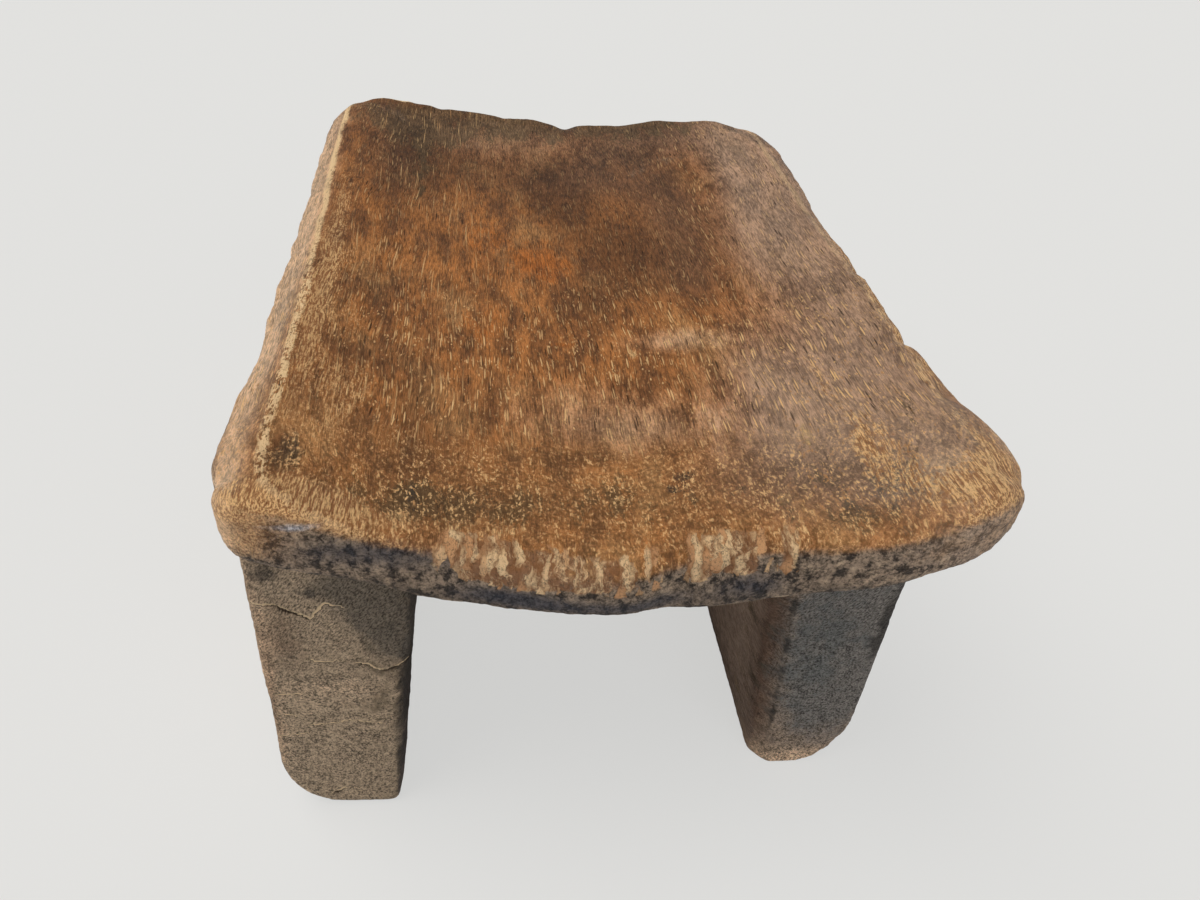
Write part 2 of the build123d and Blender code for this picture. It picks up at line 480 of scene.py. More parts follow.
@dataclass(frozen=True)
class Seat:
    """The seat: what its use and age have left on it, and a highlight painted on its lip. Every place is in
    millimetres in the stool's frame.
    """

    crest_x: float = 143.0  # the ridge along the right side, where the sitting bow ends
    crest_width: float = 3.4
    crest_rise: float = 0.9  # how far the left ridge stands up
    crest_path: tuple[tuple[float, float], ...] = (  # the sharper ridge along the left side, from above
        (-106, 243),
        (-128, 238),
        (-145, 228),
        (-149, 205),
        (-149, 110),
        (-146, 30),
        (-144, -70),
        (-143, -170),
        (-143, -204),
        (-138, -221),
        (-126, -230),
        (-104, -234),
    )
    # centre, half sizes and strength of corners worn like the top
    rubbed: tuple[tuple[Triple, Triple, float], ...] = (
        ((-152, -230, 200), (20, 18, 14), 1.4),
        ((152, -220, 198), (18, 18, 8), 0.9),
    )
    torn_reach: tuple[float, float] = (16, 7)  # the torn fibres end, and are whole, this far in from the lip
    torn_stretches: tuple[Triple, ...] = (
        (-56, 14, 1.15),  # middle, half length and strength of each torn stretch along the front lip
        (-30, 18, 0.8),
        (-4, 14, 0.6),
        (26, 5, 1.15),
        (42, 9, 1.1),
        (60, 4, 0.8),
    )
    torn_back: float = 0.17  # strength of the torn fringe along the back edge

    def crest_side(self, x: np.ndarray, y: np.ndarray) -> np.ndarray:
        """Distance of places outwards from the nearer ridge, negative on the sitting side.

        Args:
            x: Places across the seat.
            y: Places along it.

        Returns:
            The signed distances.
        """
        place = np.stack((x, y), axis=1)
        nearest = np.full(len(x), np.inf)
        signed = np.zeros(len(x))
        for start, end in zip(np.array(self.crest_path), np.array(self.crest_path[1:])):
            way = end - start
            share = np.clip((place - start) @ way / (way @ way), 0, 1)
            gap = place - (start + share[:, None] * way)
            distance = np.hypot(gap[:, 0], gap[:, 1])
            outwards = np.sign(way[1] * gap[:, 0] - way[0] * gap[:, 1])
            signed = np.where(distance < nearest, outwards * distance, signed)
            nearest = np.minimum(distance, nearest)
        return np.where(x < 0, signed, x - self.crest_x)

    def patches(self) -> list[Patch]:
        """Stains on the seat: those that go through it, then those on its lip and its corners, with a painted
        highlight along the lip's top edge.
        """
        return [
            *spots(
                Stain.DUSK,
                (-40, 200, 190, 150, 70, 0.5),
                (84, 190, 194, 46, 50, 0.3),
                (84, -190, 196, 60, 44, 0.5),
                (134, -196, 204, 30, 34, 0.35),
                (130, 110, 200, 30, 120, 1.1),
                (104, 0, 195, 24, 80, 0.45),
                (92, -140, 195, 46, 70, 0.8),
                (136, -70, 200, 34, 210, 0.75),
                (-158, 160, 200, 11, 90, 0.6),
            ),
            *spots(
                Stain.UMBER,
                (32, 8, 187, 36, 66, 0.9),
                (0, 100, 186, 28, 66, 1.0),
                (-56, 140, 188, 70, 66, 0.6),
                (-104, 110, 196, 36, 90, 0.45),
                (2, -52, 186, 18, 40, 0.5),
                (-8, -178, 188, 34, 8, 0.5),
                (-70, -190, 200, 50, 30, 0.4),
                (-135, -200, 210, 8, 14, 1.2),
            ),
            *spots(
                Stain.PLUM,
                (38, 145, 188, 34, 60, 1.0),
                (72, 60, 190, 30, 90, 0.9),
                (64, -24, 190, 24, 40, 0.5),
                (92, 190, 196, 44, 60, 0.7),
                (-20, 120, 188, 70, 50, 0.4),
                (-110, 140, 196, 30, 90, 0.5),
                (70, -200, 196, 70, 30, 0.6),
            ),
            *spots(
                Stain.MOSS,
                (-80, 222, 190, 90, 60, 0.75),
                (30, 222, 188, 90, 46, 0.75),
                (-114, 186, 198, 40, 60, 0.45),
                (76, 200, 194, 50, 36, 0.35),
                (-92, 130, 196, 24, 80, 0.5),
                (-84, -216, 200, 40, 18, 0.6),
                (100, -190, 200, 50, 40, 0.45),
                (-20, -208, 190, 90, 22, 0.6),
                (92, -226, 196, 24, 10, 0.5),
                (-134, -200, 210, 9, 16, 0.8),
                (124, -110, 200, 16, 60, 0.35),
                (128, 40, 200, 14, 40, 0.4),
            ),
            *spots(
                Stain.DUST,
                (-112, 210, 200, 24, 14, 0.45),
                (-50, 178, 189, 26, 14, 0.5),
                (-42, 224, 188, 30, 9, 0.5),
                (56, 128, 188, 26, 14, 0.5),
                (80, 146, 191, 18, 10, 0.6),
                (124, 160, 199, 26, 50, 0.55),
                (0, 76, 186, 30, 20, 0.3),
                (80, -70, 190, 60, 40, 0.25),
                (128, -222, 205, 30, 16, 0.5),
            ),
            *spots(
                Stain.TAN,
                (0, -142, 190, 80, 34, 0.25),
                (-158, -20, 200, 14, 250, 1.3),
                (48, -86, 189, 34, 14, 0.5),
                (14, -160, 189, 50, 20, 0.3),
            ),
            *spots(
                Stain.RUST,
                (-42, 20, 190, 46, 56, 0.6),
                (-14, -6, 186, 16, 26, 0.6),
                (-60, -75, 190, 34, 45, 0.5),
                (0, 150, 186, 16, 30, 0.3),
                (-14, -87, 187, 13, 3, 0.8),
                (72, -76, 190, 24, 12, 0.3),
                (20, -196, 189, 26, 12, 0.4),
                (-40, -196, 189, 20, 10, 0.35),
            ),
            *spots(
                Stain.SOOT,
                (27, -191, 189, 9, 6, 0.6),
                (20, -200, 189, 10, 4, 0.65),
                (-32, -173, 189, 8, 4, 0.5),
                (-134, -197, 210, 7, 15, 0.5),
                (96, -172, 194, 7, 7, 0.45),
            ),
            *spots(
                Stain.PALE,
                (21, -96, 187, 7, 7, 0.5),
                (26, -107, 187, 5, 4, 0.45),
                (65, -207, 192, 12, 6, 0.35),
                (84, -170, 194, 10, 18, 0.3),
                (-64, 214, 190, 16, 8, 0.2),
            ),
            *spots(
                Stain.GOLD,
                (-136, -40, 205, 9, 150, 0.85),
                (-118, -60, 205, 18, 150, 0.25),
                (-154, -160, 205, 10, 60, 0.35),
                (-132, -224, 205, 44, 16, 0.85),
                (-60, -226, 195, 60, 8, 0.5),
                (-118, -160, 200, 20, 66, 0.4),
                (132, -218, 205, 32, 20, 0.75),
                (148, -200, 205, 14, 26, 0.5),
                (146, -120, 205, 10, 110, 0.55),
                (150, 60, 205, 8, 150, 0.3),
                (60, -228, 195, 60, 8, 0.5),
                (100, -122, 200, 9, 46, 0.4),
                (104, -188, 200, 14, 24, 0.55),
                (112, -170, 200, 20, 40, 0.3),
                (-20, -140, 200, 60, 18, 0.25),
                (-122, 150, 205, 14, 70, 0.35),
                (120, 180, 200, 30, 30, 0.35),
            ),
            Patch(Stain.TAN, (-160, -222, 198), (12, 24, 16), 1.0),
            Patch(Stain.TAN, (-128, -222, 206), (30, 12, 7), 0.5),
            Patch(Stain.TAN, (134, -212, 205), (22, 22, 10), 0.7),
            Patch(Stain.TAN, (158, -195, 200), (10, 26, 10), 0.8),
            Patch(Stain.SOOT, (114, -243, 201), (5, 8, 5), 0.8),
            Patch(Stain.INK, (-100, -243, 191), (44, 12, 10), 1.3),
            Patch(Stain.INK, (-48, -243, 174), (34, 12, 7), 0.9),
            Patch(Stain.INK, (4, -245, 170), (50, 12, 6), 0.8),
            Patch(Stain.INK, (48, -243, 174), (16, 12, 9), 1.1),
            Patch(Stain.INK, (98, -240, 188), (36, 12, 8), 0.2),
            Patch(Stain.DUST, (118, -236, 192), (40, 16, 12), 0.5),
            Patch(Stain.SLATE, (148, -215, 192), (16, 20, 6), 0.5),
            # painted highlight: a thin bluish-white reflection along the top edge of the front lip
            Patch(Stain.PAINTED_HIGHLIGHT, (-121, -240, 204), (21, 8, 1.5), 1.4),
        ]

    def dents(self) -> list[Dent]:
        """Knocks, holes and chips in the seat, and the waves of its hand-cut outline."""
        return [
            Dent((-137, -206, 211), (10, 18, 12), 2.6),
            Dent((-139, -195, 213), (8, 4, 10), 1.6),
            Dent((-134, -238, 206), (2.4, 2.4, 3), 2.6),
            Dent((-160, -91, 203), (7, 6, 10), 2.4),
            Dent((-161, -62, 202), (3, 2.5, 3), 2.6),
            Dent((148, -112, 200), (14, 7, 60), 2.8),
            Dent((150, -138, 200), (14, 9, 60), 1.3),
            Dent((150, -156, 200), (14, 14, 60), 3.2),
            Dent((153, -213, 200), (14, 10, 60), 2.4),
            Dent((138, -238, 200), (16, 12, 60), -1.8),
            Dent((148, -68, 200), (12, 10, 60), -1.0),
            Dent((152, 28, 200), (14, 34, 60), 2.2),
            Dent((150, -42, 200), (12, 6, 60), 1.2),
            Dent((136, 186, 198), (18, 24, 60), 4.0),
            Dent((-163, -116, 200), (14, 26, 60), 2.0),
            Dent((-164, -150, 200), (14, 10, 60), -1.2),
            Dent((-163, -205, 200), (12, 10, 60), 3.2),
            Dent((-156, -232, 196), (12, 10, 60), -3.0),
            Dent((-159, -9, 200), (10, 8, 60), 1.4),
            Dent((114, -243, 200), (7, 7, 6), 2.2),
            Dent((-14, -238, 163), (34, 16, 12), 2.6),
            Dent((36, -238, 164), (26, 16, 12), -3.4),
            Dent((-80, -238, 168), (20, 16, 12), -1.8),
            Dent((-45, 243, 190), (40, 14, 40), -2.4),
            Dent((-82, 246, 190), (7, 10, 40), 1.8),
            Dent((-32, 244, 190), (6, 10, 40), 1.6),
            Dent((-10, 240, 188), (16, 14, 40), -3.6),
            Dent((15, 228, 188), (8, 12, 40), 2.8),
            Dent((56, 222, 190), (8, 10, 40), 0.8),
            Dent((84, 216, 196), (18, 14, 40), -2.4),
            Dent((-140, 228, 206), (18, 18, 40), 3.6),
            Dent((-90, 242, 198), (22, 14, 40), -2.6),
        ]

    def cracks(self) -> list[Crack]:
        """Drying cracks in the seat."""
        return [Crack(((38, -243, 174), (70, -243, 179), (98, -241, 187)))]


@dataclass(frozen=True)
class Leg:
    """A leg: where it is sawn from the seat, what age has left on it, and the light and shade painted on it,
    in millimetres.
    """

    node: str
    marks: tuple[Patch, ...] = ()
    knocks: tuple[Dent, ...] = ()
    splits: tuple[Crack, ...] = ()
    seam_drop: float = 4.0  # how far below the seat's underside the leg is parted from it
    seam_margin: float = 16.0  # how far round the CAD leg its softened top may reach
    seam_above: float = 6.0  # how far above the seam the block is sawn through, at most

    def box(self) -> tuple[Vector, Vector]:
        """Lowest and highest corner of the CAD leg, in metres."""
        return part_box(self.node)


def stool_legs() -> list[Leg]:
    """The four legs, with the stains, painted light and shade, knocks and cracks of each."""
    soot, pale, dusk, moss = Stain.SOOT, Stain.PALE, Stain.DUSK, Stain.MOSS
    slate, umber, tan = Stain.SLATE, Stain.UMBER, Stain.TAN
    front_left = Leg(
        "front_left_leg",
        marks=(
            Patch(soot, (-146, -224, 166), (16, 30, 20), 0.75),
            Patch(soot, (-127, -224, 153), (7, 30, 5), 0.6),
            # painted shadow: the triangle of shade under the seat's lip on the leg's front
            Patch(Stain.PAINTED_SHADOW, (-108, -224, 156), (22, 30, 12), 1.6),
            Patch(Stain.PAINTED_SHADOW, (-100, -224, 138), (16, 30, 14), 1.6),
            Patch(Stain.PAINTED_SHADOW, (-94, -224, 120), (11, 30, 12), 1.3),
            Patch(umber, (-155, -224, 96), (6, 30, 70), 0.9),
            Patch(umber, (-143, -224, 126), (12, 30, 30), 0.5),
            # grime in the knocks along the inner edge, and painted shade on the inner face, which turns away
            # from the key lamp under the seat
            Patch(soot, (-84, -214, 140), (6, 60, 56), 1.1),
            Patch(soot, (-90, -216, 85), (6, 60, 50), 1.0),
            Patch(soot, (-96, -218, 35), (5, 60, 50), 0.9),
            Patch(umber, (-86, -150, 90), (12, 90, 120), 1.4),
            Patch(tan, (-120, -224, 92), (26, 30, 16), 0.3),
            Patch(pale, (-116, -230, 14), (26, 30, 8), 0.2),
        ),
        knocks=(
            Dent((-83, -219, 140), (7, 9, 50), 2.4),
            Dent((-90, -223, 80), (7, 9, 50), 2.2),
            Dent((-96, -227, 25), (7, 9, 40), 1.6),
        ),
        splits=(
            Crack(
                (
                    (-155, -222, 149),
                    (-143, -222, 145),
                    (-129, -223, 138),
                    (-122, -223, 147),
                    (-116, -223, 145),
                )
            ),
            Crack(
                ((-132, -225, 112), (-107, -225, 109), (-100, -225, 104), (-90, -222, 108), (-84, -214, 110))
            ),
            Crack(((-156, -226, 91), (-149, -226, 88), (-140, -226, 89))),
            Crack(((-154, -227, 74), (-141, -227, 73))),
            Crack(((-138, -227, 66), (-119, -227, 69), (-104, -227, 67))),
            Crack(((-152, -227, 58), (-140, -228, 60))),
            Crack(((-132, -229, 9), (-126, -229, 15))),
        ),
    )
    front_right = Leg(
        "front_right_leg",
        marks=(
            Patch(slate, (115, -212, 112), (31, 16, 84), 2.8),
            # painted light: the inner face, which turns towards the key lamp, lightened
            Patch(dusk, (78, -120, 90), (14, 66, 100), 0.6),
            Patch(moss, (104, -209, 100), (20, 16, 40), 0.35),
            Patch(soot, (90, -209, 148), (8, 20, 10), 0.55),
            Patch(soot, (96, -209, 132), (3, 20, 3), 0.6),
            Patch(soot, (129, -209, 118), (7, 20, 36), 1.1),
            Patch(umber, (71, -206, 150), (8, 12, 40), 1.3),
            Patch(umber, (77, -207, 90), (8, 12, 50), 1.3),
            Patch(umber, (82, -208, 35), (8, 12, 40), 1.2),
            *[Patch(soot, (90.5 - 2.5 * n, -209, 40 + 28 * n), (2.4, 12, 20), 0.7) for n in range(5)],
            Patch(tan, (110, -209, 4), (36, 30, 15), 0.8),
        ),
        knocks=(
            Dent((134, -209, 16), (12, 14, 18), 2.8),
            Dent((126, -210, 10), (9, 8, 3), 1.2),
            Dent((136, -208, 84), (5, 8, 16), 1.2),
            Dent((72, -208, 150), (9, 10, 44), 2.4),
            Dent((78, -209, 90), (9, 10, 44), 2.4),
            Dent((83, -210, 30), (9, 10, 40), 2.2),
        ),
        splits=(Crack(((118, -211, 9), (127, -211, 13), (134, -208, 13))),),
    )
    rear_left = Leg(
        "rear_left_leg",
        marks=(
            Patch(moss, (-120, 200, 90), (30, 30, 50), 0.5),
            Patch(soot, (-130, 201, 160), (24, 30, 20), 0.7),
        ),
        splits=(
            Crack(((-150, 200, 118), (-128, 201, 121), (-112, 201, 116))),
            Crack(((-120, 199, 64), (-100, 199, 60), (-92, 197, 62))),
        ),
    )
    rear_right = Leg(
        "rear_right_leg",
        marks=(
            Patch(dusk, (112, 188, 100), (30, 30, 60), 0.6),
            Patch(soot, (130, 188, 150), (16, 30, 30), 0.6),
        ),
        splits=(Crack(((80, 188, 134), (98, 189, 138), (112, 189, 136))),),
    )
    return [front_left, front_right, rear_left, rear_right]


@dataclass(frozen=True)
class Carving:
    """Geometry Nodes tree that works a smooth block over. Its fields are the tree's named inputs."""

    settle_steps: int = 5  # smoothing that takes the voxels' steps away
    hollow_steps: int = 34  # smoothing that rounds the corner between a leg and the seat
    swell: float = 0.9  # slow waves of hand-cut faces, in millimetres, as all that follows
    adze_depth: float = 1.1
    adze_width: float = 24.0
    adze_length: float = 36.0
    fibre_depth: float = 2.4
    tooth: float = 0.7  # fine roughness of bare end grain
    crack_depth: float = 1.7
    crack_width: float = 1.1

    def tree(self) -> bpy.types.NodeTree:
        """Build the tree.

        Returns:
            A Geometry Nodes tree whose inputs are the block, this carving's sizes, the cracks and a material.
        """
        tree = bpy.data.node_groups.new("worked_block", "GeometryNodeTree")
        kinds = {item.name: "Int" if isinstance(item.default, int) else "Float" for item in fields(self)}
        for name, kind in {"Block": "Geometry", **kinds, "Cracks": "Object", "Wood": "Material"}.items():
            tree.interface.new_socket(name, in_out="INPUT", socket_type="NodeSocket" + kind)
        tree.interface.new_socket("Block", in_out="OUTPUT", socket_type="NodeSocketGeometry")

        graph = Graph(tree)
        given = graph.node("NodeGroupInput").outputs
        block = self._softened(graph, given)
        place = graph.scaled(graph.node("GeometryNodeInputPosition").outputs[0], 1 / MM)
        side, near = self._crack_distances(graph, given, place)
        block = self._kept(graph, block, "crack_side", side)
        block = self._kept(graph, block, "crack_near", near)
        height = graph.plus(
            self._waves(graph, given, place),
            self._adze_cuts(graph, given, place),
            self._tooth(graph, given, place),
            self._torn_lip(graph, given, place),
            self._crack_groove(graph, given, near),
            graph.times(self._read(graph, "dent"), -1.0),
        )
        normal = graph.node("GeometryNodeInputNormal").outputs[0]
        block = self._moved(graph, block, "Offset", graph.scaled(normal, graph.times(height, MM)))
        across, deep, high = graph.parts(graph.node("GeometryNodeInputPosition").outputs[0])
        standing = graph.joined(across, deep, graph.math("MAXIMUM", high, 0.0))
        realized = graph.node("GeometryNodeRealizeInstances")
        graph.feed(realized.inputs[0], self._moved(graph, block, "Position", standing))
        dressed = graph.node("GeometryNodeSetMaterial")
        graph.feed(dressed.inputs["Geometry"], realized.outputs[0])
        graph.feed(dressed.inputs["Material"], given["Wood"])
        graph.feed(graph.node("NodeGroupOutput").inputs[0], dressed.outputs[0])
        return tree

    @staticmethod
    def _read(graph: Graph, name: str) -> bpy.types.NodeSocket:
        """Read a vertex attribute by name."""
        made = graph.node("GeometryNodeInputNamedAttribute", data_type="FLOAT")
        made.inputs["Name"].default_value = name
        return made.outputs["Attribute"]

    @staticmethod
    def _moved(graph: Graph, block: object, how: str, value: object) -> bpy.types.NodeSocket:
        """Move the block's vertices to a Position or by an Offset."""
        made = graph.node("GeometryNodeSetPosition")
        graph.feed(made.inputs["Geometry"], block)
        graph.feed(made.inputs[how], value)
        return made.outputs[0]

    @staticmethod
    def _kept(graph: Graph, block: object, name: str, value: object) -> bpy.types.NodeSocket:
        """Store a field on the block as a vertex attribute."""
        made = graph.node("GeometryNodeStoreNamedAttribute", data_type="FLOAT", domain="POINT")
        made.inputs["Name"].default_value = name
        graph.feed(made.inputs["Geometry"], block)
        graph.feed(made.inputs["Value"], value)
        return made.outputs[0]

    def _softened(self, graph: Graph, given: object) -> bpy.types.NodeSocket:
        """Smooth the whole block a little, and the corners between legs and seat a lot."""
        block = given["Block"]
        for steps, weight in (("settle_steps", 1.0), ("hollow_steps", self._read(graph, "hollow"))):
            blur = graph.node("GeometryNodeBlurAttribute", data_type="FLOAT_VECTOR")
            graph.feed(blur.inputs["Value"], graph.node("GeometryNodeInputPosition").outputs[0])
            graph.feed(blur.inputs["Iterations"], given[steps])
            graph.feed(blur.inputs["Weight"], weight)
            block = self._moved(graph, block, "Position", blur.outputs[0])
        return block

    def _waves(self, graph: Graph, given: object, place: object) -> bpy.types.NodeSocket:
        """Slow waves, and a quicker wobble along the rim."""
        slow = graph.noise(graph.cells(place, (70, 95, 70)), detail=2.0, seed=1.3)
        quick = graph.noise(graph.cells(place, (17, 17, 24)), detail=2.0, roughness=0.55, seed=8.2)
        lift = graph.times(graph.math("SUBTRACT", slow, 0.5), given["swell"], 2.0, self._read(graph, "rough"))
        quick = graph.math("SUBTRACT", quick, 0.5)
        return graph.plus(lift, graph.times(quick, given["swell"], 5.0, self._read(graph, "rim")))

    def _adze_cuts(self, graph: Graph, given: object, place: object) -> bpy.types.NodeSocket:
        """Shallow scallops left by the adze, longest along the grain, each one cell of a Voronoi pattern."""
        size = graph.joined(given["adze_width"], given["adze_length"], given["adze_length"])
        strokes = graph.grains(graph.vector("DIVIDE", place, size), randomness=0.8)
        bowl = graph.math("POWER", strokes.outputs["Distance"], 2.0)
        return graph.times(bowl, given["adze_depth"], self._read(graph, "rough"))

    def _tooth(self, graph: Graph, given: object, place: object) -> bpy.types.NodeSocket:
        """Fine lumps and pits, strongest where the wood isn't rubbed by hands."""
        fine = graph.noise(graph.cells(place, (3.4, 5.0, 3.4)), detail=3.0, roughness=0.65, seed=6.6)
        return graph.times(graph.math("SUBTRACT", fine, 0.5), given["tooth"], 2.0, self._read(graph, "rough"))

    def _torn_lip(self, graph: Graph, given: object, place: object) -> bpy.types.NodeSocket:
        """Flakes and ridges of torn fibre on the worn end-grain rims."""
        flake, ridge, gaps = torn_chips(graph, place)
        depth = graph.plus(graph.times(flake, 0.45), graph.times(ridge, 0.4), graph.times(gaps, 0.3))
        return graph.times(depth, given["fibre_depth"], self._read(graph, "torn"), -1.0)

    @staticmethod
    def _crack_distances(graph: Graph, given: object, place: object) -> tuple[object, object]:
        """Distance to the nearest crack, signed by the side of it that a point is on, and unsigned."""
        info = graph.node("GeometryNodeObjectInfo", transform_space="RELATIVE")
        graph.feed(info.inputs["Object"], given["Cracks"])
        wire = graph.node("GeometryNodeCurveToMesh")
        graph.feed(wire.inputs["Curve"], info.outputs["Geometry"])
        knots = graph.cells(place, (7, 7, 7))
        stray = graph.noise(knots, detail=3.0, roughness=0.6, seed=3.3, output="Color")
        stray = graph.vector("SUBTRACT", stray, (0.5, 0.5, 0.5))
        jagged = graph.vector("ADD", place, graph.scaled(stray, 5.0))
        nearest = graph.node("GeometryNodeProximity", target_element="EDGES")
        graph.feed(nearest.inputs["Geometry"], wire.outputs[0])
        graph.feed(nearest.inputs["Sample Position"], graph.scaled(jagged, MM))
        gap = graph.vector("SUBTRACT", jagged, graph.scaled(nearest.outputs["Position"], 1 / MM))
        across = graph.vector("DOT_PRODUCT", gap, (0.35, 0.0, 1.0))
        distance = graph.math("DIVIDE", nearest.outputs["Distance"], MM)
        return graph.times(graph.math("SIGN", across), distance), distance

    @staticmethod
    def _crack_groove(graph: Graph, given: object, near: object) -> bpy.types.NodeSocket:
        """The groove of each crack, with a low lip either side of it."""
        share = graph.math("DIVIDE", near, given["crack_width"])
        groove = graph.step(share, 1.0, 0.0)
        lips = graph.times(graph.step(share, 0.6, 1.4), graph.step(share, 3.2, 1.6))
        return graph.times(graph.math("SUBTRACT", graph.times(lips, 0.28), groove), given["crack_depth"])

    def apply(
        self, block: bpy.types.Object, cracks: bpy.types.Object, wood: bpy.types.Material
    ) -> bpy.types.Mesh:
        """Run the tree on the block and return the plain mesh that it gives.

        Args:
            block: The smooth block, with its vertex attributes.
            cracks: A curve object that holds the paths of the cracks.
            wood: The material that the worked block is given.

        Returns:
            The worked mesh.
        """
        tree = self.tree()
        modifier = block.modifiers.new("worked", "NODES")
        modifier.node_group = tree
        given = {"Cracks": cracks, "Wood": wood, **vars(self)}
        for item in tree.interface.items_tree:
            if item.in_out == "INPUT" and item.socket_type != "NodeSocketGeometry":
                modifier[item.identifier] = given[item.name]
        graph = bpy.context.evaluated_depsgraph_get()
        worked = bpy.data.meshes.new_from_object(block.evaluated_get(graph), depsgraph=graph)
        block.modifiers.remove(modifier)
        return worked


class Lie:
    """How each vertex of the block lies, in arrays. Lengths are in millimetres and shares run from 0 to 1."""

    def __init__(self, mesh: bpy.types.Mesh, plank: Plank, seat: Seat) -> None:
        """Measure the vertices of a mesh against the plank and the seat's marks."""
        points, normals = read_points(mesh), read_normals(mesh)
        self.place = points / MM
        top, under = plank.top(points) / MM, plank.underside(points) / MM
        self.thickness = top - under
        self.height = self.place[:, 2] - under  # above the seat's underside
        self.inset = plank.inset(points) / MM  # from the seat's edge
        self.up = normals[:, 2]
        self.ends = ease(0.35, 0.85, np.abs(normals[:, 1]))  # how squarely the surface cuts across the grain
        self.on_seat = ease(-3, 1, self.height)
        worn = ease(0.25, 0.75, self.up) * ease(-9, -3, self.place[:, 2] - top)
        rubbed = np.clip(bump_sum(self.place, seat.rubbed), 0, 1) * self.on_seat * ease(-0.2, 0.2, self.up)
        self.sit = np.maximum(worn, rubbed)  # how far it belongs to the worn top
        self.crest = seat.crest_side(self.place[:, 0], self.place[:, 1])
        self.left = ease(20, -20, self.place[:, 0])


@dataclass(frozen=True)
class Block:
    """The whole block: the CAD limbs merged, worked over and sawn apart again."""

    seat: Seat
    legs: tuple[Leg, ...]
    carving: Carving = Carving()
    voxel: float = 2.35 * MM  # size of the skin's quads
    root_height: float = 6 * MM  # how far a leg is let into the seat before they are merged
    joint_gap: float = 1e-6  # vertices closer than this are one
    top_slope: float = 0.7  # a leg's top is its faces that point up by more than this share
    cut_snap: float = 1e-7  # a vertex this close to a seam lies in it
    lip_end: float = -200 * MM  # the fine quads of the front lip lie in front of this,
    lip_reach: float = 22 * MM  # this far in from its edge,
    back_start: float = 190 * MM  # those of the back edge behind this
    back_reach: float = 12 * MM
    crest_reach: float = 6.0  # and those of the left crest this many millimetres either side of it,
    crest_height: float = 15 * MM  # this far above the underside
    leg_start: float = 1.5 * MM  # a leg's fine quads start this far below the seat's underside

    def raw_mesh(self) -> bpy.types.Mesh:
        """Copy the CAD limbs into one mesh, with each leg's top pushed up into the seat."""
        joined = bmesh.new()
        for name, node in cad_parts.items():
            limb = bmesh.new()
            limb.from_mesh(node.data)
            bmesh.ops.remove_doubles(limb, verts=limb.verts, dist=self.joint_gap)
            if name != SEAT:
                middle = sum(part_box(name), Vector()).z / 2
                flat = [f for f in limb.faces if f.normal.z > self.top_slope]
                top = {v for f in flat for v in f.verts if v.co.z > middle}
                for vertex in top:
                    vertex.co.z += self.root_height
            part = bpy.data.meshes.new(name + "_copy")
            limb.to_mesh(part)
            limb.free()
            joined.from_mesh(part)
            bpy.data.meshes.remove(part)
        mesh = bpy.data.meshes.new("block")
        joined.to_mesh(mesh)
        joined.free()
        return mesh

    def merged(self) -> bpy.types.Object:
        """Turn the joined limbs into one skin of even quads."""
        block = bpy.data.objects.new("block", self.raw_mesh())
        bpy.context.scene.collection.objects.link(block)
        remesh = block.modifiers.new("skin", "REMESH")
        remesh.mode = "VOXEL"
        remesh.voxel_size = self.voxel
        graph = bpy.context.evaluated_depsgraph_get()
        skin = bpy.data.meshes.new_from_object(block.evaluated_get(graph), depsgraph=graph)
        block.modifiers.clear()
        block.data = skin
        return block

    def refine(self, mesh: bpy.types.Mesh, plank: Plank) -> None:
        """Halve the quads where fine detail goes: the legs, the torn lip and the crest.

        Args:
            mesh: The merged skin, changed in place.
            plank: The seat's heights and outline.
        """
        work = bmesh.new()
        work.from_mesh(mesh)
        centres = np.array([f.calc_center_median() for f in work.faces])
        below = plank.underside(centres) - centres[:, 2]
        inset = plank.inset(centres)
        lip = (centres[:, 1] < self.lip_end) & (inset < self.lip_reach)
        back = (centres[:, 1] > self.back_start) & (inset < self.back_reach) & (below < 0)
        side = self.seat.crest_side(centres[:, 0] / MM, centres[:, 1] / MM)
        crest = (np.abs(side) < self.crest_reach) & (centres[:, 0] < 0) & (below < -self.crest_height)
        fine = (below > self.leg_start) | lip | back | crest
        edges = dict.fromkeys(e for face, chosen in zip(work.faces, fine) if chosen for e in face.edges)
        bmesh.ops.subdivide_edges(work, edges=list(edges), cuts=1, use_grid_fill=True)
        wide = [f for f in work.faces if len(f.verts) > 4]
        bmesh.ops.triangulate(work, faces=wide)
        work.to_mesh(mesh)
        work.free()

    def weather(self, mesh: bpy.types.Mesh, plank: Plank) -> None:
        """Write where each kind of wear and stain lies, as vertex attributes.

        Args:
            mesh: The skin, which gets the attributes.
            plank: The seat's heights and outline.
        """
        lie = Lie(mesh, plank, self.seat)
        y = lie.place[:, 1]
        wall = ease(0.8, 0.5, np.abs(lie.up)) * lie.on_seat
        calm = 1 - 0.7 * ease(-195, -225, y)
        ridges = ease(-245, -205, y) * ease(30, 20, np.abs(lie.crest))
        found = {
            "sit": lie.sit,
            "leg": ease(1, -9, lie.height),
            "ends": lie.ends,
            "rise": np.clip(lie.height / np.maximum(lie.thickness, 1), 0, 1),
            "hollow": ease(17, 6, np.abs(lie.height)) * ease(5, 15, lie.inset) * (1 - lie.sit),
            "rough": 1 - 0.72 * lie.sit - 0.35 * lie.ends * (1 - lie.on_seat),
            "rim": calm * (wall * 0.75 + 0.45 * ease(9, 2, lie.inset) * lie.sit),
            "crest_side": np.clip(lie.crest, -30, 30),
            # where the ridges' painted highlight and the painted shade inside them lie: on the worn top,
            # strongest on the left
            "crest": lie.sit * (0.3 + 0.7 * lie.left) * ridges,
            "torn": self._torn(lie),
            "dent": self._sunk(lie),
            **{stain.value: self._stained(lie, stain) for stain in Stain},
        }
        for name, values in found.items():
            store(mesh, name, values)

